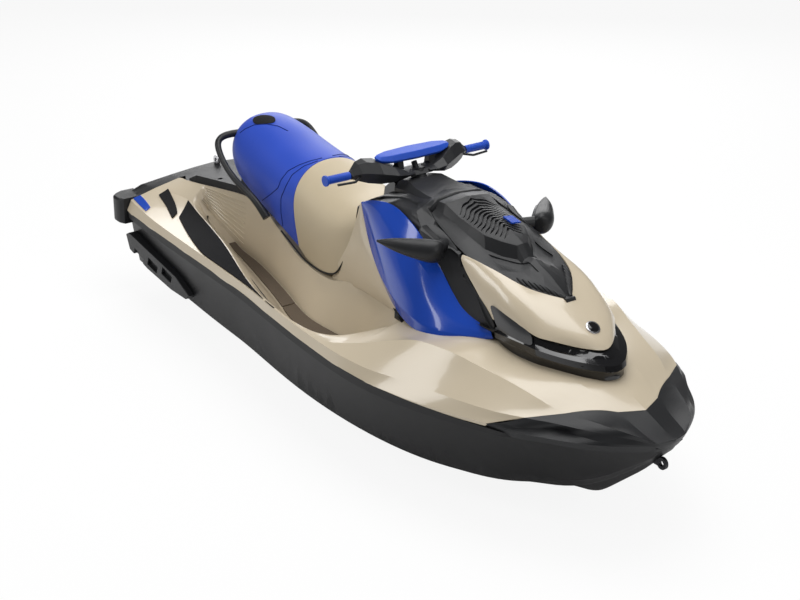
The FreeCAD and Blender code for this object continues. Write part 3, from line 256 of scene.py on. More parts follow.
stern = 30
lines = {
    "railTop": DesignLine((stern, edge(126), 420), (170, edge(96), 420), (700, edge(75), 420),
                          (1260, edge(56), 420), (1500, edge(34), 420), (1800, edge(10), 420),
                          (2050, edge(0), 420), (2230, edge(10), 420), (2440, edge(46), 424),
                          (bow(660), edge(106), 430), (bow(490), edge(168), 438),
                          (bow(390), edge(206), 436), (bow(310), 362, 435), (bow(210), 294, 436),
                          (bow(130), 220, 437), (bow(70), 140, 436), (bow(38), 84, 434)),
    "band": DesignLine((stern, edge(148), 470), (170, edge(116), 468), (450, edge(96), 458),
                       (1260, edge(65), 456), (1500, edge(43), 457), (1800, edge(22), 459),
                       (2050, edge(12), 463), (2230, edge(28), 465), (2440, edge(88), 470),
                       (bow(690), edge(128), 478), (bow(490), edge(196), 481), (bow(370), edge(262), 484),
                       (bow(310), 326, 484), (bow(210), 258, 478), (bow(130), 192, 470),
                       (bow(60), 120, 456), (bow(35), 82, 440)),
    "crease": DesignLine((stern, 400, 500), (200, 350, 503), (320, 292, 485), (450, 316, 466),
                         (790, 390, 462), (1440, edge(60), 461), (1720, edge(34), 461),
                         (1940, edge(30), 466), (2100, 545, 500), (2250, 480, 552), (2370, 440, 588),
                         (2517, 412, 596), (2652, 370, 575), (2782, 330, 554), (2902, 298, 529),
                         (2991, 262, 502), (3100, 210, 495), (bow(130), 172, 488), (bow(60), 127, 475),
                         (bow(32), 79, 446)),
    "pedestal": DesignLine((stern, 230, 520), (190, 235, 538), (450, 190, 560), (660, 168, 578),
                           (800, 175, 572), (1000, 200, 520), (1200, 224, 470), (1430, 250, 466),
                           (1700, 250, 530), (1880, 262, 542), (2100, 300, 552), (2332, 330, 572),
                           (2480, 280, 600), (2560, 230, 602), (2640, 212, 580), (2745, 186, 572),
                           (2870, 150, 566), (2991, 122, 545), (3106, 97, 503), (bow(110), 84, 470),
                           (bow(40), 74, 450), (bow(24), 64, 446)),
    "ridge": DesignLine((stern, 105, 532), (450, 100, 566), (660, 95, 584), (800, 95, 580), (1000, 100, 528),
                        (1200, 105, 480), (1430, 110, 476), (1700, 120, 536), (1880, 125, 548),
                        (2100, 140, 558), (2332, 150, 578), (2480, 145, 606), (2640, 120, 586),
                        (2745, 110, 578), (2870, 90, 570), (2991, 76, 552), (3120, 60, 502),
                        (bow(110), 52, 474), (bow(40), 44, 452), (bow(15), 34, 446)),
    "centre": DesignLine((stern, 0, 538), (450, 0, 570), (660, 0, 588), (800, 0, 584), (1000, 0, 532),
                         (1200, 0, 484), (1430, 0, 480), (1700, 0, 540), (1880, 0, 552), (2100, 0, 562),
                         (2332, 0, 580), (2480, 0, 608), (2640, 0, 588), (2745, 0, 580), (2870, 0, 572),
                         (2991, 0, 552), (3147, 0, 500), (bow(110), 0, 480), (bow(40), 0, 454),
                         (bow(10), 0, 446)),
    "floorInner": DesignLine((330, 236, 470), (430, 206, 396), (560, 192, 336), (660, 190, 308),
                             (800, 200, 304), (1100, 255, 300), (1490, 335, 300), (1750, 318, 302),
                             (1850, 314, 332), (1960, 318, 420), (2050, 326, 498), (2100, 330, 532)),
    "floorOuter": DesignLine((330, 262, 470), (430, 240, 396), (560, 236, 336), (660, 240, 308),
                             (800, 266, 304), (1210, 359, 300), (1390, 411, 300), (1600, 450, 300),
                             (1750, 468, 302), (1850, 476, 332), (1960, 452, 420), (2050, 396, 498),
                             (2100, 350, 532)),
    "rim": DesignLine((330, 292, 482), (430, 312, 468), (790, 390, 462), (1440, edge(62), 461),
                      (1700, edge(38), 461), (1850, edge(56), 470), (1960, edge(106), 488),
                      (2050, 415, 512), (2100, 352, 540)),
}


# Materials

class Socket:  # an output of a node, on which shader maths is written as plain expressions
    def __init__(self, maker, link):
        self.maker = maker
        self.link = link

    def math(self, operation, other):
        return self.maker.node("ShaderNodeMath", {"operation": operation}, {0: self, 1: other})

    def __add__(self, other):
        return self.math("ADD", other)

    def __mul__(self, other):
        return self.math("MULTIPLY", other)

    __radd__ = __add__
    __rmul__ = __mul__


class Nodes:  # the nodes of a material or a world
    def __init__(self, owner):
        owner.use_nodes = True
        self.tree = owner.node_tree
        self.tree.nodes.clear()

    def node(self, kind, settings, values, output=0):
        made = self.tree.nodes.new(kind)
        for key, value in settings.items():
            setattr(made, key, value)
        for key, value in values.items():
            if isinstance(value, Socket):
                self.tree.links.new(value.link, made.inputs[key])
            else:
                made.inputs[key].default_value = value
        return Socket(self, made.outputs[output]) if len(made.outputs) else made


class Finish(Nodes):  # one material: its principled shader and the nodes that feed it
    def __init__(self, name, colour, roughness, **fixed):
        self.material = bpy.data.materials.new(name)
        super().__init__(self.material)
        self.surface = self.node("ShaderNodeBsdfPrincipled", {}, {})
        self.output = self.node("ShaderNodeOutputMaterial", {}, {0: self.surface})
        self.material.diffuse_color = (*colour, 1)
        self.set("Base Color", (*colour, 1))
        self.set("Roughness", roughness)
        for key, value in fixed.items():
            self.set(key.replace("_", " "), value)

    def set(self, name, value):
        socket = self.surface.link.node.inputs[name]
        if isinstance(value, Socket):
            self.tree.links.new(value.link, socket)
        else:
            socket.default_value = value

    def place(self):
        return self.node("ShaderNodeTexCoord", {}, {}, "Object")

    def noise(self, scale, detail=3.0):
        return self.node("ShaderNodeTexNoise", {}, {"Vector": self.place(), "Scale": scale, "Detail": detail})

    def cells(self, scale):
        return self.node("ShaderNodeTexVoronoi", {}, {"Vector": self.place(), "Scale": scale}, "Distance")

    def bump(self, height, strength, depth):
        values = {"Height": height, "Strength": strength, "Distance": depth}
        self.set("Normal", self.node("ShaderNodeBump", {}, values))

    def mixed(self, mask, first, second):  # two colours, mixed by a mask
        colours = {0: mask, 6: (*first, 1), 7: (*second, 1)}
        return self.node("ShaderNodeMix", {"data_type": "RGBA"}, colours, 2)


def shade(colour, factor):
    return tuple(min(1.0, part * factor) for part in colour)


colours = {
    "sand": (0.56, 0.48, 0.355),
    "seatSand": (0.50, 0.42, 0.29),
    "seatBlue": (0.020, 0.066, 0.46),
    "panelBlue": (0.010, 0.060, 0.42),
    "gripBlue": (0.014, 0.070, 0.46),
    "hullBlack": (0.009, 0.009, 0.010),
    "trimBlack": (0.017, 0.0175, 0.019),
    "matBlack": (0.010, 0.010, 0.011),
    "matBrown": (0.135, 0.105, 0.077),
}


def gelCoat(name, colour):  # moulded deck: glossy, with a faint orange peel and a soft mottle
    finish = Finish(name, colour, 0.30, Coat_Weight=0.5, Coat_Roughness=0.08, Specular_IOR_Level=0.5)
    mottle = finish.noise(3.0)
    finish.set("Base Color", finish.mixed(mottle, shade(colour, 0.96), shade(colour, 1.04)))
    finish.set("Roughness", mottle * 0.08 + 0.26)
    finish.bump(finish.noise(260.0, 1.0), 0.05, 0.0004)
    return finish.material


def gloss(name, colour, roughness=0.12):  # polished panels
    finish = Finish(name, colour, roughness, Coat_Weight=0.6, Coat_Roughness=0.04, Specular_IOR_Level=0.35)
    finish.set("Roughness", finish.noise(6.0) * 0.06 + roughness)
    finish.bump(finish.noise(180.0, 1.0), 0.03, 0.0003)
    return finish.material


def grained(name, colour, roughness=0.4, scale=900.0, depth=0.0003):  # textured plastic and rubber
    finish = Finish(name, colour, roughness, Specular_IOR_Level=0.3)
    blotch = finish.noise(5.0)
    finish.set("Base Color", finish.mixed(blotch, shade(colour, 0.9), shade(colour, 1.12)))
    finish.set("Roughness", blotch * 0.10 + (roughness - 0.05))
    finish.bump(finish.cells(scale), 0.35, depth)
    return finish.material


def vinyl(name, colour):  # marine seat cover: fine leather grain and a slight sheen
    finish = Finish(name, colour, 0.46, Sheen_Weight=0.06, Sheen_Roughness=0.4, Specular_IOR_Level=0.35)
    wrinkle = finish.noise(7.0, 4.0)
    finish.set("Base Color", finish.mixed(wrinkle, shade(colour, 0.93), shade(colour, 1.07)))
    finish.set("Roughness", wrinkle * 0.12 + 0.40)
    finish.bump(finish.cells(700.0) + finish.noise(60.0, 3.0) * 0.6, 0.30, 0.0004)
    return finish.material


def foam(name, colour):  # traction mat with a pitted, matt surface
    finish = Finish(name, colour, 0.85, Specular_IOR_Level=0.2)
    speck = finish.noise(420.0, 2.0)
    finish.set("Base Color", finish.mixed(speck, shade(colour, 0.8), shade(colour, 1.2)))
    finish.bump(finish.cells(1100.0) + speck, 0.5, 0.0006)
    return finish.material


def metal(name, colour, roughness):
    grain = 80.0
    finish = Finish(name, colour, roughness, Metallic=1.0)
    finish.set("Roughness", finish.noise(grain) * 0.2 + (roughness - 0.08))
    finish.bump(finish.noise(grain * 6), 0.12, 0.0003)
    return finish.material


materials = {
    "hull_black": grained("hullBlack", colours["hullBlack"], 0.42, 500.0, 0.0002),
    "deck_sand": gelCoat("deckSand", colours["sand"]),
    "trim_black": grained("trimBlack", colours["trimBlack"]),
    "rail_rubber": grained("railRubber", (0.018, 0.018, 0.019), 0.6),
    "mat_black": foam("matBlack", colours["matBlack"]),
    "mat_brown": foam("matBrown", colours["matBrown"]),
    "seat_blue": vinyl("seatBlue", colours["seatBlue"]),
    "seat_sand": vinyl("seatSand", colours["seatSand"]),
    "panel_blue": gloss("panelBlue", colours["panelBlue"]),
    "gloss_black": gloss("glossBlack", (0.006, 0.006, 0.007), 0.08),
    "grip_blue": grained("gripBlue", colours["gripBlue"], 0.45),
    "cast_metal": metal("castMetal", (0.20, 0.21, 0.22), 0.5),
    "steel": metal("steel", (0.58, 0.58, 0.60), 0.25),
}


def smoky():  # dark vent cover with a smoky gloss
    finish = Finish("smokyVent", (0.030, 0.031, 0.034), 0.18, Coat_Weight=0.6, Coat_Roughness=0.1)
    finish.set("Roughness", finish.noise(9.0) * 0.1 + 0.16)
    finish.bump(finish.noise(120.0, 1.0), 0.05, 0.0004)
    return finish.material


def silvered():  # mirror glass
    finish = Finish("mirrorGlass", (0.72, 0.74, 0.76), 0.03, Metallic=1.0)
    finish.set("Roughness", finish.noise(5.0) * 0.03 + 0.02)
    return finish.material


def paintedSeamShade():  # a sewn seam drawn as a dark line: its colour is painted shade of the seam's groove
    finish = Finish("seamShadeBlue", (0.006, 0.016, 0.11), 0.7, Specular_IOR_Level=0.2)
    finish.set("Base Color", finish.mixed(finish.noise(90.0), (0.005, 0.012, 0.09), (0.008, 0.020, 0.13)))
    return finish.material


seamShadeBlue = paintedSeamShade()
darkFitting = metal("darkFitting", (0.05, 0.05, 0.055), 0.45)
smokyVent = smoky()
mirrorGlass = silvered()


def dress(piece, slotName, body="craft", replaced=(), finish=None):
    piece.data.materials.clear()
    piece.data.materials.append(finish or materials[slotName])
    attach(piece, body)
    if replaced:
        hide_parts(*replaced)
    return piece


def pair(left, name, slotName, replacedLeft=(), replacedRight=(), finish=None):  # a piece and its twin
    right = twin(left, name)
    dress(left, slotName, replaced=replacedLeft, finish=finish)
    dress(right, slotName, replaced=replacedRight, finish=finish)


# Camera, floor and lights

def makeCamera():
    view = {"azimuth": 54.024, "elevation": 24.031, "roll": 0.709, "distance": 6.674, "lens": 72.97,
            "aim": (0.209, -0.164, 0.200)}
    around, height = math.radians(view["azimuth"]), math.radians(view["elevation"])
    level = math.cos(height)
    back = Vector((math.sin(around) * level, -math.cos(around) * level, math.sin(height)))
    data = bpy.data.cameras.new("camera")
    data.lens = view["lens"]
    data.sensor_width = 36
    camera = bpy.data.objects.new("camera", data)
    bpy.context.scene.collection.objects.link(camera)
    turn = back.to_track_quat("Z", "Y").to_matrix() @ Matrix.Rotation(math.radians(view["roll"]), 3, "Z")
    camera.matrix_world = Matrix.Translation(Vector(view["aim"]) + back * view["distance"]) @ turn.to_4x4()
    bpy.context.scene.camera = camera


def makeStage():
    ground = {"size": 60.0, "height": -0.302, "colour": (0.93, 0.93, 0.93), "glow": 0.9}
    room = {"seen": 1.0, "light": 0.30, "reflected": 0.10}  # strengths of the white all round
    clearSelection()
    bpy.ops.mesh.primitive_plane_add(size=ground["size"], location=(0, 0, ground["height"]))
    floor = bpy.context.object
    floor.name = "floor"
    finish = Finish("paleFloor", ground["colour"], 0.9)
    finish.set("Base Color", finish.mixed(finish.noise(0.6), (0.92, 0.92, 0.92), (0.94, 0.94, 0.94)))
    glow = finish.node("ShaderNodeEmission", {}, {"Color": (1, 1, 1, 1), "Strength": 1.0})
    share = finish.node("ShaderNodeLightPath", {}, {}, "Is Camera Ray") * ground["glow"]
    blended = finish.node("ShaderNodeMixShader", {}, {0: share, 1: finish.surface, 2: glow})
    finish.tree.links.new(blended.link, finish.output.inputs[0])
    floor.data.materials.append(finish.material)
    world = bpy.data.worlds.new("studio")
    bpy.context.scene.world = world
    sky = Nodes(world)
    white = {}
    for name, strength in room.items():
        white[name] = sky.node("ShaderNodeBackground", {}, {"Color": (1, 1, 1, 1), "Strength": strength})
    glossy = sky.node("ShaderNodeLightPath", {}, {}, "Is Glossy Ray")
    camera = sky.node("ShaderNodeLightPath", {}, {}, "Is Camera Ray")
    unseen = sky.node("ShaderNodeMixShader", {}, {0: glossy, 1: white["light"], 2: white["reflected"]})
    chosen = sky.node("ShaderNodeMixShader", {}, {0: camera, 1: unseen, 2: white["seen"]})
    sky.node("ShaderNodeOutputWorld", {}, {0: chosen})


def makeLights():
    lamps = [
        {"name": "overhead", "place": (0.0, 0.5, 4.2), "aim": (0, 0, 0.2), "size": (4.0, 3.0), "power": 150},
        {"name": "key", "place": (-2.0, -4.5, 3.6), "aim": (0, 0, 0.2), "size": (2.5, 2.0), "power": 85},
        {"name": "rim", "place": (-4.4, 3.4, 2.3), "aim": (0, 0, 0.3), "size": (5.0, 2.6), "power": 130},
        {"name": "front", "place": (4.6, 0.8, 2.6), "aim": (0.6, 0, 0.2), "size": (2.5, 1.6), "power": 40},
    ]
    for lamp in lamps:
        data = bpy.data.lights.new(lamp["name"], "AREA")
        data.shape = "RECTANGLE"
        data.size, data.size_y = lamp["size"]
        data.energy = lamp["power"]
        light = bpy.data.objects.new(lamp["name"], data)
        bpy.context.scene.collection.objects.link(light)
        place, aim = Vector(lamp["place"]), Vector(lamp["aim"])
        turn = (place - aim).to_track_quat("Z", "Y").to_matrix().to_4x4()
        light.matrix_world = Matrix.Translation(place) @ turn


makeCamera()
makeStage()
makeLights()
bpy.context.scene.view_settings.view_transform = "Standard"
print("camera, floor and lights are in place")


# Deck and bumper

seam = {  # where the black bumper meets the deck, on each design line
    "railTop": 2812, "band": 2922, "crease": 3003, "rim": 3019, "floorOuter": 3044, "floorInner": 3074,
    "pedestal": 3106, "ridge": 3122, "centre": 3147,
}
tipBack = {  # how far behind the bow tip each design line of the bumper ends
    "railTop": 38, "band": 35, "crease": 32, "rim": 31, "floorOuter": 29, "floorInner": 27,
    "pedestal": 24, "ridge": 15, "centre": 10,
}
across = ["railTop", "band", "crease", "rim", "floorOuter", "floorInner", "pedestal", "ridge", "centre"]
wellStart, wellEnd = 330, 2100
blackEnd = 800  # the stern deck is black and separate up to here


def sectionPlace(name, x):  # where a line crosses a section, laid on the plain deck beyond the footwell
    low, high = lines["crease"].at(x), lines["pedestal"].at(x)
    shares = {"rim": 0.15, "floorOuter": 0.40, "floorInner": 0.70}
    if name not in shares:
        return lines[name].at(x)
    if x <= wellStart or x >= wellEnd:
        return mix(low, high, shares[name])
    inside = lines[name].at(x)
    if name == "rim":
        return (x, min(inside[1], low[1] - 4), inside[2])
    return inside


def dropFaces(piece, unwanted):  # deletes the faces that pass a test
    pick(piece)
    bpy.context.tool_settings.mesh_select_mode = (False, False, True)
    bpy.ops.object.mode_set(mode="EDIT")
    bpy.ops.mesh.select_all(action="DESELECT")
    bpy.ops.object.mode_set(mode="OBJECT")
    for face in piece.data.polygons:
        face.select = unwanted(face)
    bpy.ops.object.mode_set(mode="EDIT")
    bpy.ops.mesh.delete(type="FACE")
    bpy.ops.object.mode_set(mode="OBJECT")


def makeDeck():
    look = {"wall": 6, "start": 114, "pitch": 40, "front": 27, "tuck": (4, 14)}
    stations = [look["start"], 160, 200, 240, 280, 322, wellStart]
    while stations[-1] < wellEnd - look["pitch"]:
        stations.append(stations[-1] + look["pitch"])
    stations.append(wellEnd)
    rows = []
    for name in across:
        row = [sectionPlace(name, x) for x in stations]
        for k in range(1, look["front"] + 1):
            x = wellEnd + (seam[name] - wellEnd) * k / look["front"]
            row.append(sectionPlace(name, x))
        rows.append(row)
    inwards, down = look["tuck"]
    rows.insert(0, [(x, y - inwards, z - down) for x, y, z in rows[0]])
    deck = cage("deckShell", rows, sharpRows=(1, 2, 3, 5, 6, 7, 9))

    def underBlack(face):
        x, y, z = toMm(face.center)
        top = lines["pedestal"].at(x)
        return x < blackEnd and abs(y) < top[1] - 1 and z > top[2] - 25

    dropFaces(deck, underBlack)
    shell(deck, look["wall"], facet=7)
    return dress(deck, "deck_sand", replaced=["deck"])


def makeBumper():
    look = {"wall": 5, "steps": 22, "tuck": (8, 18, 32)}
    dent = {"start": bow(400), "end": bow(130), "depth": 24, "drop": 0.4, "fadeIn": 120, "fadeOut": 140,
            "share": 0.35, "spread": 0.3}
    rows = []
    for name in across:
        row = []
        for k in range(look["steps"] + 1):
            x = seam[name] + (bow(tipBack[name]) - seam[name]) * k / look["steps"]
            row.append(sectionPlace(name, x))
        rows.append(row)
    back, inwards, down = look["tuck"]
    rows.insert(0, [(x - back, y - inwards, z - down) for x, y, z in rows[0]])
    dented = []
    for a, b in zip(rows[1], rows[2]):  # a long pointed dent between the edge and the band
        x = (a[0] + b[0]) / 2
        inside = min((x - dent["start"]) / dent["fadeIn"], (dent["end"] - x) / dent["fadeOut"], 1.0)
        inside = max(0.0, inside)
        y, z = mix(a, b, dent["share"] + dent["spread"] * inside)[1:]
        dented.append((x, y - dent["depth"] * inside, z - dent["depth"] * dent["drop"] * inside))
    rows.insert(2, dented)
    bumper = cage("bowBumper", rows, sharpRows=(1, 2, 3, 4, 8, 10))
    shell(bumper, look["wall"], facet=7)
    lip = cage("bumperLip", [  # the narrow face under the front edge
        [(3270, 88, 446), (3281, 74, 447), (3286, 64, 447), (3295, 34, 447), (3300, 0, 447)],
        [(3262, 93, 434), (3276, 77, 433), (3281, 66, 432), (3291, 34, 432), (3296, 0, 432)],
        [(3252, 78, 402), (3265, 64, 402), (3269, 52, 402), (3277, 28, 402), (3281, 0, 402)],
    ], sharpRows=(1,), sharpColumns=(2,), up=(1, 0, 0))
    shell(lip, look["wall"], facet=12)
    bumper = joined("bowBumper", [bumper, lip])
    return dress(bumper, "trim_black", replaced=["bow_bumper"])


deckShell = makeDeck()
makeBumper()
print("deck and bumper are made")


slots = {part["node"]: part["material_slot"] for part in frame["record"]["subparts"]}
bodies = {node: body for body, nodes in frame["record"]["behaviour"]["bodies"].items() for node in nodes}


# Pieces that keep the frame's own form: merged, rounded at their edges and smooth over their curves

def rounded(piece, width, degrees=32, segments=2):
    return modify(piece, "BEVEL", width=width / 1000, segments=segments, limit_method="ANGLE",
                  angle_limit=math.radians(degrees), harden_normals=False)


coveredFlanks = [  # start, end, distance from the centre plane, low and high z
    (1602, 2060, 198, 0, 880), (2080, 2530, 204, 650, 880)]


def underSides(face):  # the console body's flanks, which the side panels and the skirt cover
    x, y, z = toMm(face.center)
    return any(start < x < end and abs(y) > inner and low < z < high
               for start, end, inner, low, high in coveredFlanks)


def makeFromFrame():
    table = {  # piece: node and edge radius in mm
        "rubRail": ("rub_rail", 3.0), "sternCorners": ("stern_corners", 4.0), "sternDeck": ("rear_deck", 4.0),
        "sideFins": ("sponsons", 3.0), "consoleBody": ("console_body", 0.0),
        "lidTub": ("storage_tub", 1.0), "steeringNeck": ("steering_neck", 4.0),
        "instrumentPod": ("gauge_pod", 3.0), "pumpHousing": ("jet_pump", 0.0),
        "pumpImpeller": ("impeller", 0.0), "nozzle": ("steering_nozzle", 0.0),
        "bucket": ("reverse_bucket", 1.5), "ridePlate": ("ride_plate", 1.5),
        "intakeGrate": ("intake_grate", 1.5), "bowEye": ("bow_eye", 1.0), "sternEyes": ("stern_eyes", 1.0),
        "towEye": ("tow_eye", 1.0), "leverLeft": ("lever_left", 0.0), "leverRight": ("lever_right", 0.0),
        "mirrorLeft": ("mirror_left", 0.0), "mirrorRight": ("mirror_right", 0.0),
        "gripLeft": ("grip_left", 1.0), "gripRight": ("grip_right", 1.0),
    }
    curved = ("console_body", "mirror_left", "mirror_right", "rub_rail", "jet_pump", "impeller",
              "steering_nozzle")
    finishes = {"bowEye": darkFitting, "mirrorLeft": materials["trim_black"],
                "mirrorRight": materials["trim_black"]}
    made = {}
    for name, (node, radius) in table.items():
        piece = frameCopy(name, node, flat=node not in curved)
        if radius:
            rounded(piece, radius)
        if name == "consoleBody":
            dropFaces(piece, underSides)
        smoothed(piece, 22)
        modify(piece, "WEIGHTED_NORMAL", keep_sharp=True)
        made[name] = dress(piece, slots[node], bodies[node], [node], finishes.get(name))
    return made


def makeHull():  # the frame's hull, without the faces that the deck's skin hides
    look = {"rampEnd": 420, "rampLevel": 356, "level": 294, "beyond": 3, "slope": 12, "gap": 9}
    hull = frameCopy("hullShell", "hull", flat=False)
    mesh = hull.data

    def hidden(corner):
        x, y, z = toMm(mesh.vertices[corner].co)
        level = look["rampLevel"] if x < look["rampEnd"] else look["level"]
        if not wellStart - look["beyond"] < x < wellEnd + look["beyond"] or z < level:
            return False
        outer, rim = lines["floorOuter"].at(x), lines["rim"].at(x)
        share = max(0.0, min((z - outer[2]) / max(rim[2] - outer[2], look["slope"]), 1.0))
        return abs(y) < outer[1] + (rim[1] - outer[1]) * share + look["gap"]

    dropFaces(hull, lambda face: all(hidden(corner) for corner in face.vertices))
    smoothed(hull, 22)
    modify(hull, "WEIGHTED_NORMAL", keep_sharp=True)
    return dress(hull, "hull_black", replaced=["hull"])


makeHull()
fromFrame = makeFromFrame()
print("hull and the plain rigid pieces are dressed")


# Tubes, and places found on a surface

def tube(name, places, radius, fine=3, radii=None):
    clearSelection()
    curve = bpy.data.curves.new(name, "CURVE")
    curve.dimensions = "3D"
    curve.bevel_depth = radius / 1000
    curve.bevel_resolution = fine
    curve.resolution_u = 6
    curve.use_fill_caps = True
    spline = curve.splines.new("NURBS")
    spline.points.add(len(places) - 1)
    for k, (point, place) in enumerate(zip(spline.points, places)):
        point.co = (*spot(*place), 1)
        point.radius = radii[k] if radii else 1.0
    spline.order_u = min(4, len(places))
    spline.use_endpoint_u = True
    piece = bpy.data.objects.new(name, curve)
    bpy.context.scene.collection.objects.link(piece)
    pick(piece)
    bpy.ops.object.convert(target="MESH")
    outwards(bpy.context.object)
    return smoothed(bpy.context.object, 40)


surfaces = {}


def cast(target, start, way):  # where a ray first meets a piece, and its normal there
    key = (target.name, len(target.data.polygons))
    if key not in surfaces:
        corners = [vertex.co for vertex in target.data.vertices]
        surfaces[key] = BVHTree.FromPolygons(corners, [face.vertices for face in target.data.polygons])
    place, normal = surfaces[key].ray_cast(start, way)[:2]
    if place is not None and normal.dot(way) > 0:
        normal = -normal
    return place, normal


def landed(target, x, y, lift=0.0):  # the place on a piece straight below a point, in mm
    place, normal = cast(target, spot(x, y, 1600), Vector((0, 0, -1)))
    if place is None:
        return None
    return toMm(place + normal * lift / 1000)


def seen(target, pixels, fine=False, lift=0.0004):  # places where the camera sees photo pixels on a piece
    photo = {"width": 800, "height": 600, "finer": 5}
    camera = bpy.context.scene.camera
    start = camera.matrix_world.translation
    focus = camera.data.lens / camera.data.sensor_width * photo["width"]
    if fine:
        steps = [k / photo["finer"] for k in range(photo["finer"])]
        pixels = [mix(a, b, t) for a, b in zip(pixels, pixels[1:]) for t in steps] + [pixels[-1]]
    found = []
    for right, down in pixels:
        ray = Vector(((right - photo["width"] / 2) / focus, (photo["height"] / 2 - down) / focus, -1))
        way = camera.matrix_world.to_3x3() @ ray
        place, normal = cast(target, start, way.normalized())
        if place is not None:
            found.append(toMm(place + normal * lift))
    return found


# Side panels and hood

def makeSidePanels():
    rows = [
        [(1640, 205, 862), (1690, 220, 790), (1770, 246, 708), (1880, 282, 640), (2010, 318, 590),
         (2156, 350, 550), (2332, 372, 564), (2550, 224, 604)],
        [(1641, 207, 866), (1702, 232, 808), (1792, 266, 730), (1905, 304, 668), (2035, 335, 625),
         (2175, 352, 592), (2345, 352, 590), (2549, 228, 612)],
        [(1643, 208, 870), (1728, 238, 858), (1830, 276, 805), (1960, 310, 755), (2080, 325, 715),
         (2190, 328, 690), (2350, 305, 640), (2545, 231, 622)],
        [(1645, 207, 872), (1745, 228, 902), (1862, 256, 888), (1985, 280, 856), (2090, 284, 818),
         (2190, 276, 775), (2352, 268, 655), (2538, 229, 632)],
        [(1645, 202, 873), (1750, 212, 916), (1900, 230, 950), (2000, 238, 926), (2072, 240, 903),
         (2236, 232, 784), (2354, 245, 668), (2530, 224, 640)],
    ]
    left = cage("sidePanelLeft", rows, sharpRows=(1, 3), up=(0, 1, 0.2), weight=0.9)
    shell(left, 6, 3, mirrored=False, facet=8)
    pair(left, "sidePanelRight", "panel_blue", ["side_panel_left"], ["side_panel_right"])


def makeHood():
    spokes = [
        [(2716, 0, 775), (2780, 0, 742), (2850, 0, 708), (2905, 0, 676), (2936, 0, 650)],
        [(2690, 34, 782), (2760, 48, 752), (2835, 58, 716), (2880, 64, 684), (2900, 56, 657)],
        [(2655, 64, 790), (2710, 92, 768), (2775, 112, 734), (2835, 112, 696), (2863, 98, 662)],
        [(2606, 104, 802), (2660, 140, 782), (2715, 160, 748), (2760, 172, 708), (2780, 174, 683)],
        [(2570, 124, 815), (2605, 155, 800), (2655, 174, 772), (2710, 186, 716), (2747, 188, 680)],
        [(2530, 140, 826), (2560, 166, 812), (2600, 190, 785), (2650, 204, 738), (2660, 206, 708)],
        [(2490, 151, 836), (2515, 172, 824), (2545, 195, 798), (2560, 212, 765), (2560, 217, 735)],
        [(2450, 160, 843), (2470, 178, 830), (2495, 200, 800), (2520, 216, 740), (2556, 228, 655)],
        [(2400, 171, 850), (2415, 184, 838), (2430, 200, 812), (2436, 212, 785), (2438, 218, 755)],
        [(2350, 180, 857), (2356, 188, 848), (2360, 196, 830), (2358, 202, 812), (2352, 206, 797)],
        [(2304, 192, 860), (2306, 196, 858), (2308, 200, 854), (2310, 203, 848), (2312, 204, 842)],
    ]
    hood = cage("hoodShell", spokes)
    shell(hood, 8, 3)
    return dress(hood, "deck_sand", replaced=["hood"])


def makeSkirt():  # sand-coloured cover between the saddle and the side panel
    rows = [
        [(1440, 226, 440), (1490, 232, 462), (1560, 240, 488), (1700, 260, 520), (1900, 292, 540),
         (2110, 334, 560)],
        [(1450, 224, 480), (1520, 232, 540), (1600, 244, 560), (1730, 266, 580), (1890, 298, 590),
         (2080, 330, 594)],
        [(1500, 226, 560), (1560, 230, 620), (1640, 244, 650), (1720, 258, 668), (1830, 280, 668),
         (1960, 304, 650)],
        [(1572, 222, 660), (1606, 224, 700), (1650, 234, 724), (1706, 250, 736), (1766, 260, 742),
         (1840, 274, 722)],
        [(1608, 212, 770), (1622, 214, 790), (1640, 220, 798), (1664, 226, 804), (1696, 232, 806),
         (1740, 240, 800)],
        [(1628, 202, 858), (1632, 203, 860), (1636, 204, 862), (1648, 205, 863), (1662, 206, 864),
         (1690, 210, 860)],
    ]
    left = cage("consoleSkirtLeft", rows, up=(0, 1, 0.2))
    shell(left, 5, 3, mirrored=False, facet=30)
    pair(left, "consoleSkirtRight", "deck_sand", ["console_skirt"])


def makeShoulders():  # black strip between the side panel and the hood
    rows = [
        [(2062, 238, 898), (2140, 236, 856), (2226, 234, 792), (2250, 240, 732), (2340, 246, 676),
         (2440, 238, 652), (2540, 226, 640)],
        [(2090, 207, 917), (2190, 208, 888), (2264, 212, 820), (2290, 220, 768), (2372, 233, 712),
         (2465, 234, 684), (2550, 229, 654)],
        [(2120, 172, 916), (2220, 182, 890), (2300, 197, 858), (2340, 201, 792), (2425, 220, 754),
         (2500, 226, 718), (2562, 228, 666)],
    ]
    left = cage("consoleShoulderLeft", rows, sharpRows=(1,), up=(0, 1, 0.5), weight=0.8)
    shell(left, 5, 3, mirrored=False, facet=12)
    pair(left, "consoleShoulderRight", "trim_black")


makeSidePanels()
makeSkirt()
makeShoulders()
hoodShell = makeHood()
print("side panels and hood are made")


# Nose: a gloss black band with a bulged belt under the hood, and a vent on each side

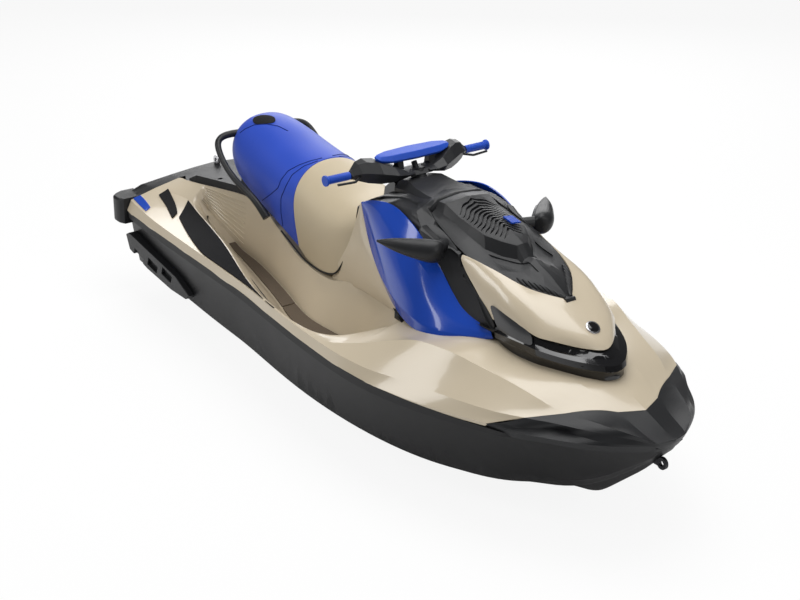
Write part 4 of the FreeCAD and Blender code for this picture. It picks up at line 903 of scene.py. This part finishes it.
def makeNose():
    look = {"wall": 6, "ventWall": 5, "coreBack": 12, "coreShare": 0.95}
    rows = [
        [(2552, 224, 662), (2640, 204, 700), (2742, 180, 674), (2800, 158, 664), (2861, 94, 655),
         (2902, 50, 649), (2934, 0, 641)],
        [(2554, 226, 650), (2640, 210, 662), (2745, 188, 652), (2806, 160, 645), (2868, 102, 640),
         (2914, 54, 635), (2950, 0, 629)],
        [(2558, 230, 640), (2645, 220, 644), (2758, 200, 640), (2846, 162, 633), (2922, 112, 627),
         (2974, 52, 619), (2996, 0, 611)],
        [(2562, 230, 622), (2652, 220, 622), (2764, 198, 616), (2852, 160, 610), (2930, 110, 602),
         (2982, 50, 597), (3004, 0, 592)],
        [(2570, 224, 612), (2658, 210, 608), (2764, 186, 602), (2850, 148, 597), (2926, 102, 591),
         (2974, 46, 586), (2992, 0, 582)],
        [(2590, 218, 598), (2655, 208, 578), (2755, 178, 568), (2842, 140, 565), (2925, 96, 564),
         (2976, 46, 560), (2998, 0, 557)],
        [(2590, 206, 596), (2650, 196, 572), (2748, 166, 562), (2832, 128, 560), (2912, 86, 560),
         (2960, 40, 556), (2980, 0, 553)],
    ]
    band = cage("noseBand", rows, sharpRows=(0, 1, 2, 3, 5), sharpColumns=(2, 5), up=(1, 0.3, 0))
    shell(band, look["wall"], 2, facet=10)
    backing = frameCopy("noseCore", "nose_grille")
    for vertex in backing.data.vertices:
        vertex.co.x -= look["coreBack"] / 1000
        vertex.co.y *= look["coreShare"]
    smoothed(backing, 30)
    joined("noseBand", [band, backing])
    dress(band, "gloss_black", replaced=["nose_grille"])
    vent = [
        [(2512, 224, 744), (2575, 218, 730), (2650, 206, 710), (2724, 193, 692)],
        [(2534, 226, 712), (2592, 222, 702), (2662, 211, 686), (2732, 196, 672)],
        [(2572, 228, 656), (2625, 222, 652), (2684, 212, 648), (2744, 196, 642)],
    ]
    left = cage("noseVentLeft", vent, up=(0, 1, 0), sharpRows=(0, 2), sharpColumns=(0, 3))
    shell(left, look["ventWall"], 2, mirrored=False)
    pair(left, "noseVentRight", "mat_black", finish=smokyVent)


# Storage lid: an arrow-shaped block with wavy grooves, recessed panels and a ribbed front tip

def lidCutter(lid, grid, depth):  # a block that cuts a pocket of one depth into the lid
    cutter = cage("lidCutter", [[(x, y, 0) for x, y in row] for row in grid], up=(0, 0, 1))
    for vertex in cutter.data.vertices:
        place = landed(lid, *toMm(vertex.co)[:2])
        height = place[2] if place else 900  # 900 where the cutter reaches past the lid
        vertex.co.z = spot(0, 0, height - depth).z
    editAll(cutter)
    bpy.ops.mesh.extrude_region_move(TRANSFORM_OT_translate={"value": (0, 0, 0.05)})
    bpy.ops.mesh.select_all(action="SELECT")
    bpy.ops.mesh.normals_make_consistent(inside=False)
    endEdit()
    return cutter


def makeLid():
    look = {"wall": 12, "edge": 4.0, "knuckle": 2690}
    groove = {"count": 12, "start": 2108, "pitch": 21.5, "depth": 10, "sweep": 0.5, "fan": 0.03, "round": 8,
              "reach": 94, "wave": 5, "waveRate": 0.09, "waveShift": 0.5, "wide": 5.2, "end": 0.9}
    taper = {"start": 2318, "half": 90, "slope": 0.68}  # the block's arrow
    pocket = {"depth": 5, "rear": ((2366, 116), (2498, 26)), "front": ((2466, 124), (2562, 26))}
    rib = {"count": 8, "radius": 7.5, "swell": [0.35, 1.0, 1.0, 0.5], "steps": (0, 0.35, 0.7, 1.0),
           "rear": ((2535, 112), (2668, 26)), "front": ((2585, 110), (2712, 10))}
    columns = [  # from the centre plane outwards: centre, inner crown, top edge, foot, slope, rim
        [(2040, 0, 990), (2040, 60, 984), (2040, 108, 976), (2040, 122, 950), (2040, 140, 938),
         (2040, 158, 932)],
        [(2090, 0, 992), (2088, 60, 986), (2084, 108, 978), (2092, 126, 942), (2094, 148, 926),
         (2094, 162, 920)],
        [(2160, 0, 970), (2160, 58, 962), (2160, 102, 948), (2168, 122, 926), (2170, 150, 908),
         (2170, 172, 899)],
        [(2235, 0, 958), (2234, 52, 950), (2234, 102, 936), (2250, 120, 902), (2252, 150, 890),
         (2248, 182, 877)],
        [(2314, 0, 945), (2316, 50, 936), (2318, 98, 922), (2340, 110, 874), (2342, 148, 868),
         (2330, 186, 857)],
        [(2374, 0, 928), (2376, 34, 920), (2378, 66, 910), (2402, 76, 858), (2404, 122, 852),
         (2400, 171, 850)],
        [(2434, 0, 906), (2432, 14, 904), (2428, 28, 900), (2450, 38, 852), (2462, 92, 840),
         (2476, 152, 837)],
        [(2468, 0, 862), (2470, 12, 859), (2472, 24, 856), (2482, 42, 846), (2518, 78, 832),
         (2552, 128, 818)],
        [(2500, 0, 866), (2505, 14, 860), (2510, 28, 856), (2530, 44, 846), (2572, 70, 826),
         (2610, 100, 800)],
        [(2590, 0, 834), (2592, 16, 830), (2596, 30, 826), (2610, 40, 818), (2634, 56, 804), (2652, 68, 789)],
        [(2708, 0, 774), (2707, 6, 774), (2705, 11, 775), (2702, 16, 777), (2698, 22, 778), (2692, 28, 780)],
    ]
    rows = [list(row) for row in zip(*columns)]
    lid = cage("lidShell", rows)
    bothSides(lid)
    thickened(lid, look["wall"], -1)
    rounded(lid, look["edge"], 11, 3)
    cutters = []
    for k in range(groove["count"]):  # wavy chevrons that end short of the block's edge
        x = groove["start"] + k * groove["pitch"]
        sweep = groove["sweep"] + groove["fan"] * k
        free = (taper["half"] - taper["slope"] * (x - taper["start"])) / (1 + taper["slope"] * sweep)
        reach = min(groove["reach"], free)
        rear, front = [], []
        for j in range(21):
            y = reach * (-1 + j / 10)
            bend = sweep * ((y * y + groove["round"] ** 2) ** 0.5 - groove["round"])
            wave = groove["wave"] * math.sin(groove["waveRate"] * abs(y) + k * groove["waveShift"])
            half = groove["wide"] * (1 - abs(y / reach) ** 4) + groove["end"]
            rear.append((x + bend + wave - half, y))
            front.append((x + bend + wave + half, y))
        cutters.append(lidCutter(lid, [rear, front], groove["depth"]))
    for side in (-1, 1):  # a shallow pocket on each side in front of the block
        rear, front = [[mix((a[0], a[1] * side), (b[0], b[1] * side), j / 8) for j in range(9)]
                       for a, b in (pocket["rear"], pocket["front"])]
        grid = [[mix(a, b, t / 5) for a, b in zip(rear, front)] for t in range(6)]
        cutters.append(lidCutter(lid, grid, pocket["depth"]))
    cutter = joined("lidCutter", cutters)
    modify(lid, "BOOLEAN", operation="DIFFERENCE", object=cutter, solver="EXACT")
    bpy.data.objects.remove(cutter)
    smoothed(lid, 16)
    ribs = []
    for k in range(rib["count"]):
        share = k / (rib["count"] - 1)
        rear, front = mix(*rib["rear"], share), mix(*rib["front"], share)
        for side in (1, -1):
            run = [mix(rear, front, t) for t in rib["steps"]]
            places = [landed(lid, x, side * y, 0.5) for x, y in run]
            places = [place for place in places if place]
            if len(places) > 2:
                ribs.append(tube("lidRib", places, rib["radius"], radii=rib["swell"][:len(places)]))
    knuckle = frameCopy("lidKnuckle", "storage_lid")
    dropFaces(knuckle, lambda face: toMm(face.center)[0] < look["knuckle"])
    piece = joined("lidShell", [lid] + ribs + [knuckle])
    return dress(piece, "trim_black", body="lid", replaced=["storage_lid"])


makeNose()
makeLid()
print("nose and storage lid are made")


# Mats, laid on the deck's skin

def makeMat(name, inner, outer, slotName, replaced=(), thick=5, sharp=0.75):
    rows = []
    for share in (0, 0.33, 0.67, 1):
        row = []
        for a, b in zip(inner, outer):
            x, y = mix(a, b, share)
            place = landed(deckShell, x, y)
            row.append((x, y, place[2] if place else 420))  # 420 where there is no deck
        rows.append(row)
    mat = cage(name, rows, sharpRows=(0, 3), sharpColumns=(0, len(inner) - 1), weight=sharp)
    subdivided(mat, 3)
    draped(mat, deckShell, 0.0008)
    thickened(mat, thick, 1)
    piece = joined(name, [mat, twin(mat, name + "Right")])
    rounded(piece, 1.5, 50)
    smoothed(piece, 35)
    return dress(piece, slotName, replaced=replaced)


def strip(first, last, count, lineName, offset):
    places = []
    for k in range(count):
        x = first + (last - first) * k / (count - 1)
        places.append((x, lines[lineName].at(x)[1] + offset))
    return places


def makeMats():
    makeMat("gunwaleMatLarge", [(322, 302)] + strip(400, 1440, 12, "rim", 7),
            [(446, 420), (560, 458), (680, 494), (780, 519)] + strip(880, 1462, 9, "band", -5),
            "mat_black", ["gunwale_mats"])
    makeMat("gunwaleMatSmall", [(186, 334), (245, 348), (300, 362), (350, 380), (398, 402)],
            [(200, 394), (250, 402), (300, 410), (370, 430), (436, 450)], "mat_black", sharp=0.4)
    makeMat("gunwaleMatTip", strip(1480, 1560, 4, "rim", 8), strip(1486, 1566, 4, "band", -4),
            "mat_black", sharp=0.6)
    for name, start, end in (("floorMatRear", 575, 1275), ("floorMatFront", 1283, 1760)):
        makeMat(name, strip(start, end, 9, "floorInner", 6), strip(start, end, 9, "floorOuter", -6),
                "mat_brown", ["footwell_mats"] if name == "floorMatRear" else [], sharp=0.95)


def makeRampRibs():  # fine ribs that fan down the ramp behind the floor
    look = {"count": 9, "from": 345, "to": 640, "steps": 8, "radius": 2.2, "edge": 0.12, "spread": 0.76}
    ribs = []
    for k in range(look["count"]):
        share = look["edge"] + look["spread"] * k / (look["count"] - 1)
        for side in (1, -1):
            way = Vector((0, -side * 0.75, -0.66))
            places = []
            for step in range(look["steps"] + 1):
                x = look["from"] + (look["to"] - look["from"]) * step / look["steps"]
                y, z = mix(lines["floorInner"].at(x)[1:], lines["pedestal"].at(x)[1:], share)
                place, normal = cast(deckShell, spot(x, side * y, z) - way * 0.05, way)
                if place is not None:
                    places.append(toMm(place + normal * 0.0002))
            if len(places) > 4:
                ribs.append(tube("rampRib", places, look["radius"], fine=1))
    return dress(joined("rampRibs", ribs), "deck_sand")


makeMats()
makeRampRibs()
print("mats and ramp ribs are laid")


# Saddle: two crowned closed forms that meet on a slant

seatSections = [  # x, half foot, foot, half side, side, crown
    (468, 95, 715, 116, 790, 866), (500, 140, 688, 160, 780, 916), (560, 165, 664, 186, 765, 940),
    (640, 174, 636, 194, 750, 942), (720, 182, 612, 200, 740, 932), (900, 196, 560, 208, 720, 892),
    (1090, 212, 510, 218, 690, 866), (1220, 226, 474, 226, 655, 832), (1380, 240, 474, 230, 640, 800),
    (1500, 236, 500, 212, 680, 806), (1600, 190, 620, 180, 740, 830)]


def seatAt(x):
    columns = list(zip(*seatSections))
    return [between(list(zip(columns[0], column)), x) for column in columns[1:]]


def seatRow(x, lean):  # one section, from the crown down one side to the floor
    halfFoot, foot, halfSide, side, crown = seatAt(x)
    shoulder = side + (crown - side) * 0.62  # the ring below is in shares of the widths and heights
    ring = [(0, crown), (halfSide * 0.42, crown - (crown - shoulder) * 0.16),
            (halfSide * 0.78, shoulder + 4), (halfSide * 0.97, side + (shoulder - side) * 0.38),
            (halfSide, side - (side - foot) * 0.25),
            (halfFoot * 0.5 + halfSide * 0.5, foot + (side - foot) * 0.35), (halfFoot, foot + 4),
            (halfFoot - 14, foot - 4), (halfFoot * 0.4, foot - 4), (0, foot - 4)]
    return [(x + (crown - z) * lean, y, z) for y, z in ring]


def makeSeat(name, node, slotName, stations, leans, closeFirst, closeLast):
    columns = [seatRow(x, lean) for x, lean in zip(stations, leans)]
    for end, index in ((closeFirst, 0), (closeLast, -1)):
        cap = seatRow(stations[index], leans[index])
        middle = (cap[0][2] + cap[-1][2]) / 2
        for share, out in end:
            ring = [(x + out, y * share, middle + (z - middle) * share) for x, y, z in cap]
            if index == 0:
                columns.insert(0, ring)
            else:
                columns.append(ring)
    rows = [list(row) for row in zip(*columns)]
    seat = cage(name, rows, sharpRows=(6,), weight=0.6, up=(0, 0, 1))
    bothSides(seat, 0.0005)
    subdivided(seat, 3)
    outwards(seat)
    editOpenings(seat)
    bpy.ops.mesh.edge_face_add()
    endEdit()
    smoothed(seat, 60)
    dress(seat, slotName, replaced=[node])
    return seat


def makeSeats():
    split, lean, gap = 1090, 0.20, 2
    rear = makeSeat("rearSeatCover", "rear_seat", "seat_blue",
                    [474, 500, 560, 640, 760, 900, 1000, split - 8 - gap, split - gap],
                    [0.0, 0.0, 0.02, 0.05, 0.10, 0.16, 0.19, lean, lean],
                    [(0.86, -5), (0.5, -7), (0.06, -7)], [(0.985, 3), (0.9, 3), (0.5, 3), (0.05, 3)])
    makeSeat("driverSeatCover", "driver_seat", "seat_sand",
             [split + 4, split + 14, 1180, 1280, 1380, 1460, 1530, 1580, 1598],
             [lean, lean, 0.16, 0.10, 0.05, 0.02, 0.0, 0.0, 0.0],
             [(0.985, -3), (0.9, -3), (0.5, -3), (0.05, -3)], [(0.9, 3), (0.5, 4), (0.05, 4)])
    return rear


rearSeat = makeSeats()
print("saddle is made")


# Bars, pad, grip rings, gauge, mirror glass and grab handles

def closedAlong(name, rings, radius, facet=24):
    # a closed form through rings that run along the bars, with plain facets and rounded edges
    rows = [list(row) for row in zip(*rings)]
    piece = cage(name, rows + [rows[0]], up=(0, 0, 1))
    outwards(piece)
    editOpenings(piece)
    bpy.ops.mesh.fill_holes(sides=0)
    bpy.ops.mesh.select_all(action="SELECT")
    bpy.ops.mesh.normals_make_consistent(inside=False)
    endEdit()
    rounded(piece, radius, 8, 3)
    smoothed(piece, facet)
    return modify(piece, "WEIGHTED_NORMAL", keep_sharp=True)


def makeBars():  # faceted arms that rise from the clamp to the switch housings, and a clamp between them
    sections = [  # y, rear x, front x, low z, high z
        (34, 1716, 1790, 994, 1014), (70, 1704, 1800, 990, 1020), (120, 1682, 1796, 980, 1040),
        (180, 1660, 1768, 974, 1064), (226, 1654, 1746, 980, 1070), (258, 1656, 1732, 990, 1062),
        (286, 1664, 1708, 998, 1036)]
    clamp = [(1700, 996), (1712, 1012), (1770, 1010), (1790, 996), (1780, 992), (1706, 992)]
    post = [(1704, 1008), (1712, 1052), (1738, 1052), (1748, 1008)]
    look = {"coreEnd": 262, "coreTop": 1000, "edge": 2.5, "postEdge": 2.0}
    pieces = []
    for side in (1, -1):
        rings = []
        for y, rear, front, low, high in sections:
            middle = (low + high) / 2
            profile = [(rear, middle - 2), (rear + 12, high), (front - 34, high - 4), (front, middle + 2),
                       (front - 22, low), (rear + 14, low + 3)]
            rings.append([(x, side * y, z) for x, z in profile])
        pieces.append(closedAlong("barArm", rings, look["edge"]))
    rings = [[(x, y, z) for x, z in clamp] for y in (-50, -20, 20, 50)]
    pieces.append(closedAlong("barClamp", rings, look["edge"]))
    for side in (1, -1):
        rings = [[(x, side * y, z) for x, z in post] for y in (-92, -64)]
        pieces.append(closedAlong("padPost", rings, look["postEdge"]))
    core = frameCopy("barCore", "handlebar")

    def covered(face):
        x, y, z = toMm(face.center)
        return abs(y) < look["coreEnd"] and z > look["coreTop"]

    dropFaces(core, covered)
    return dress(joined("barHousings", pieces + [core]), "trim_black", "steering", ["handlebar"])


def makePad():
    sections = [  # y, rear x, front x, low z, high z
        (-182, 1698, 1720, 1062, 1078), (-168, 1686, 1732, 1052, 1082), (-120, 1672, 1748, 1047, 1084),
        (0, 1666, 1754, 1046, 1085), (120, 1672, 1748, 1047, 1084), (168, 1686, 1732, 1052, 1082),
        (182, 1698, 1720, 1062, 1078)]
    rings = []
    for y, rear, front, low, high in sections:
        rings.append([(rear, y, low + 14), (rear + 8, y, high), (front - 12, y, high - 3),
                      (front, y, low + 12), (front - 12, y, low), (rear + 10, y, low)])
    pad = closedAlong("barPadCover", rings, 4.0, 30)
    dress(pad, "grip_blue", "steering", ["handlebar_pad"])


def makeGripRings():  # fine raised rings round each grip
    look = {"x": 1684, "z": 1014, "start": 304, "end": 396, "count": 12, "radius": 16.2, "bead": 1.3}
    rings = []
    for side in (1, -1):
        for k in range(look["count"]):
            y = side * (look["start"] + (look["end"] - look["start"]) * k / (look["count"] - 1))
            clearSelection()
            bpy.ops.mesh.primitive_torus_add(
                major_radius=look["radius"] / 1000, minor_radius=look["bead"] / 1000, major_segments=24,
                minor_segments=6, location=spot(look["x"], y, look["z"]), rotation=(math.pi / 2, 0, 0))
            rings.append(settle(bpy.context.object))
    return dress(smoothed(joined("gripRings", rings), 60), "grip_blue", "steering")


def makeGaugeFace():  # dark glass in a silver frame, facing the rider
    (x0, z0), (x1, z1) = (1636, 872), (1692, 955)  # lower rear and upper front corner
    rows = [[(x0 - 3, y, z0 + 12) for y in (-74, -30, 30, 74)],
            [(x0 + 22, y, z0 + 52) for y in (-78, -30, 30, 78)],
            [(x1 - 4, y, z1 - 4) for y in (-66, -26, 26, 66)]]
    glass = cage("gaugeGlass", rows, up=(-1, 0, 1), sharpRows=(0, 2), sharpColumns=(0, 3), weight=0.8)
    shell(glass, 3, 2, mirrored=False)
    dress(glass, "gloss_black")
    edges = []
    for side in (1, -1):
        places = [(x0 - 4, side * 76, z0 + 12), (x0 + 20, side * 81, z0 + 50), (x1 - 2, side * 70, z1 - 2),
                  (x1 + 6, side * 40, z1 + 6), (x1 + 8, side * 4, z1 + 8)]
        edges.append(tube("gaugeEdge", places, 4.5))
    return dress(joined("gaugeEdges", edges), "steel")


def makeMirrorGlass():
    look = {"middle": (2166, 312, 872), "half": (88, 30), "along": (-0.70, 0.71), "rise": 6, "taper": 0.35,
            "bulge": 0.55, "away": 60, "way": (0.93, 0.36), "facing": 0.75, "gap": 1.5, "thick": 2}
    for side, name, mirror in ((1, "mirrorGlassLeft", "mirrorLeft"), (-1, "mirrorGlassRight", "mirrorRight")):
        rows = []
        for v in (-1, -0.5, 0, 0.5, 1):
            row = []
            for u in (-1, -0.6, -0.2, 0.2, 0.6, 1):
                taper = 1 - look["taper"] * (u + 1) / 2
                bulge = math.sqrt(1 - look["bulge"] * u * u)
                x = look["middle"][0] + look["along"][0] * u * look["half"][0]
                y = look["middle"][1] + look["along"][1] * u * look["half"][0]
                z = look["middle"][2] + u * look["rise"] + v * look["half"][1] * taper * bulge
                row.append((x - look["away"], side * (y - look["away"]), z))
            rows.append(row)
        glass = cage(name, rows, up=(-1, -side, 0))
        subdivided(glass, 2)
        way = Vector((look["way"][0], look["way"][1] * side, 0)).normalized()
        met = set()
        for vertex in glass.data.vertices:
            place, normal = cast(fromFrame[mirror], vertex.co, way)
            if place is not None and normal.dot(way) < -look["facing"]:
                vertex.co = place - way * look["gap"] / 1000
                met.add(vertex.index)
        dropFaces(glass, lambda face: any(corner not in met for corner in face.vertices))
        thickened(glass, look["thick"], 1)
        smoothed(glass, 60)
        dress(glass, "steel", finish=mirrorGlass)


def makeHandles():  # grab handles beside the rear seat
    places = [(505, 118, 842), (502, 180, 846), (512, 236, 838), (548, 258, 802), (620, 264, 744),
              (700, 263, 700), (790, 257, 672), (850, 250, 650), (900, 240, 610), (930, 232, 578)]
    swell = [1.15, 1.1, 1.0, 1.0, 0.95, 0.95, 1.0, 1.05, 1.15, 1.3]
    for side, name in ((1, "grabHandleLeft"), (-1, "grabHandleRight")):
        handle = tube(name, [(x, side * y, z) for x, y, z in places], 15, fine=4, radii=swell)
        dress(handle, "trim_black", replaced=["grab_handles"] if side == 1 else [])


makeBars()
makePad()
makeGripRings()
makeGaugeFace()
makeMirrorGlass()
makeHandles()
print("pad, grips, gauge, mirrors and handles are made")


# Small things: badges, emblem, the seams of the saddle with painted seam shade, and the painted shadow line
# under it

def makeBadges():
    makeMat("sternBadge", [(122, 452), (170, 458), (220, 466), (270, 476)],
            [(118, 490), (175, 500), (230, 506), (290, 512)], "panel_blue", thick=2)
    look = {"rear": 2235, "top": 962, "fall": 0.156, "crown": 0.09, "slant": 0.1, "thick": 6}
    block = []
    for x in (2262, 2290, 2318):  # a patch on the lid's raised block
        z = look["top"] - (x - look["rear"]) * look["fall"]
        block.append([(x + y * look["slant"], y, z - y * look["crown"]) for y in (34, 48, 62, 76)])
    badge = cage("lidBadge", block, sharpRows=(0, 2), sharpColumns=(0, 3))
    subdivided(badge, 2)
    thickened(badge, look["thick"], -1)
    dress(smoothed(badge, 30), "panel_blue", "lid")


def makeEmblem():  # a plain two-tone disc on the hood
    look = {"x": 2845, "thick": 8, "tilt": 0.55}
    discs = [  # piece, radius, rise of its top, slot
        ("hoodDisc", 29, 4, "steel"), ("hoodDiscFace", 23, 5.5, "gloss_black")]
    place = landed(hoodShell, look["x"], 0)
    for name, radius, rise, slotName in discs:
        clearSelection()
        middle = spot(place[0], 0, place[2] + rise - look["thick"] / 2)
        bpy.ops.mesh.primitive_cylinder_add(vertices=64, radius=radius / 1000, depth=look["thick"] / 1000,
                                            location=middle, rotation=(0, look["tilt"], 0))
        disc = settle(bpy.context.object)
        disc.name = name
        rounded(disc, 1.5, 40)
        dress(smoothed(disc, 40), slotName)


def makeSeatLines():
    photoSeams = {
        "seatSeamMain": [(322, 158), (310, 161), (299, 165), (288, 171), (281, 180), (278, 188), (271, 194),
                         (260, 202)],
        "seatSeamFront": [(318, 161), (304, 166), (292, 175), (286, 186), (281, 198), (281, 212), (283, 226),
                          (287, 240)],
        "seatSeamTop": [(240, 133), (245, 129), (254, 125), (266, 124), (278, 126), (288, 131)],
    }
    under = []
    # a black tube along the foot of each seat: a painted shadow line where the saddle meets the deck
    for side in (1, -1):
        places = []
        for x in (1010, 1120, 1220, 1300, 1380, 1440, 1500):
            halfFoot, foot = seatAt(x)[:2]
            places.append((x, side * (halfFoot + 1), foot + 3))
        for x, z in ((1535, 560), (1575, 640), (1600, 720), (1612, 790), (1616, 840)):
            halfFoot = seatAt(min(x, 1598))[0]
            places.append((x, side * (halfFoot + 8), z))
        under.append(tube("seatShadowLine", places, 4.0))
    dress(joined("seatShadowLine", under), "trim_black")
    # the seams are thin tubes in a dark blue that is painted shade of their grooves
    for name, pixels in photoSeams.items():
        places = seen(rearSeat, pixels, fine=True, lift=0.0006)
        threads = [tube(name, places, 1.8)]
        if name != "seatSeamTop":
            threads.append(twin(threads[0], name))
        dress(joined(name, threads), "seat_blue", finish=seamShadeBlue)


def makeSeatPatch():  # a plain dark oval near the top of the rear seat
    photoCorners = {"top": [(252, 118), (264, 115), (276, 117)], "low": [(253, 126), (265, 124), (276, 124)]}
    patch = cage("seatPatch", [seen(rearSeat, photoCorners["top"]), seen(rearSeat, photoCorners["low"])])
    subdivided(patch, 3)
    draped(patch, rearSeat, 0.001)
    thickened(patch, 1.5, 1)
    dress(smoothed(patch, 40), "mat_black")


makeBadges()
makeEmblem()
makeSeatLines()
makeSeatPatch()
print("badges, emblem, seams and small lines are made")
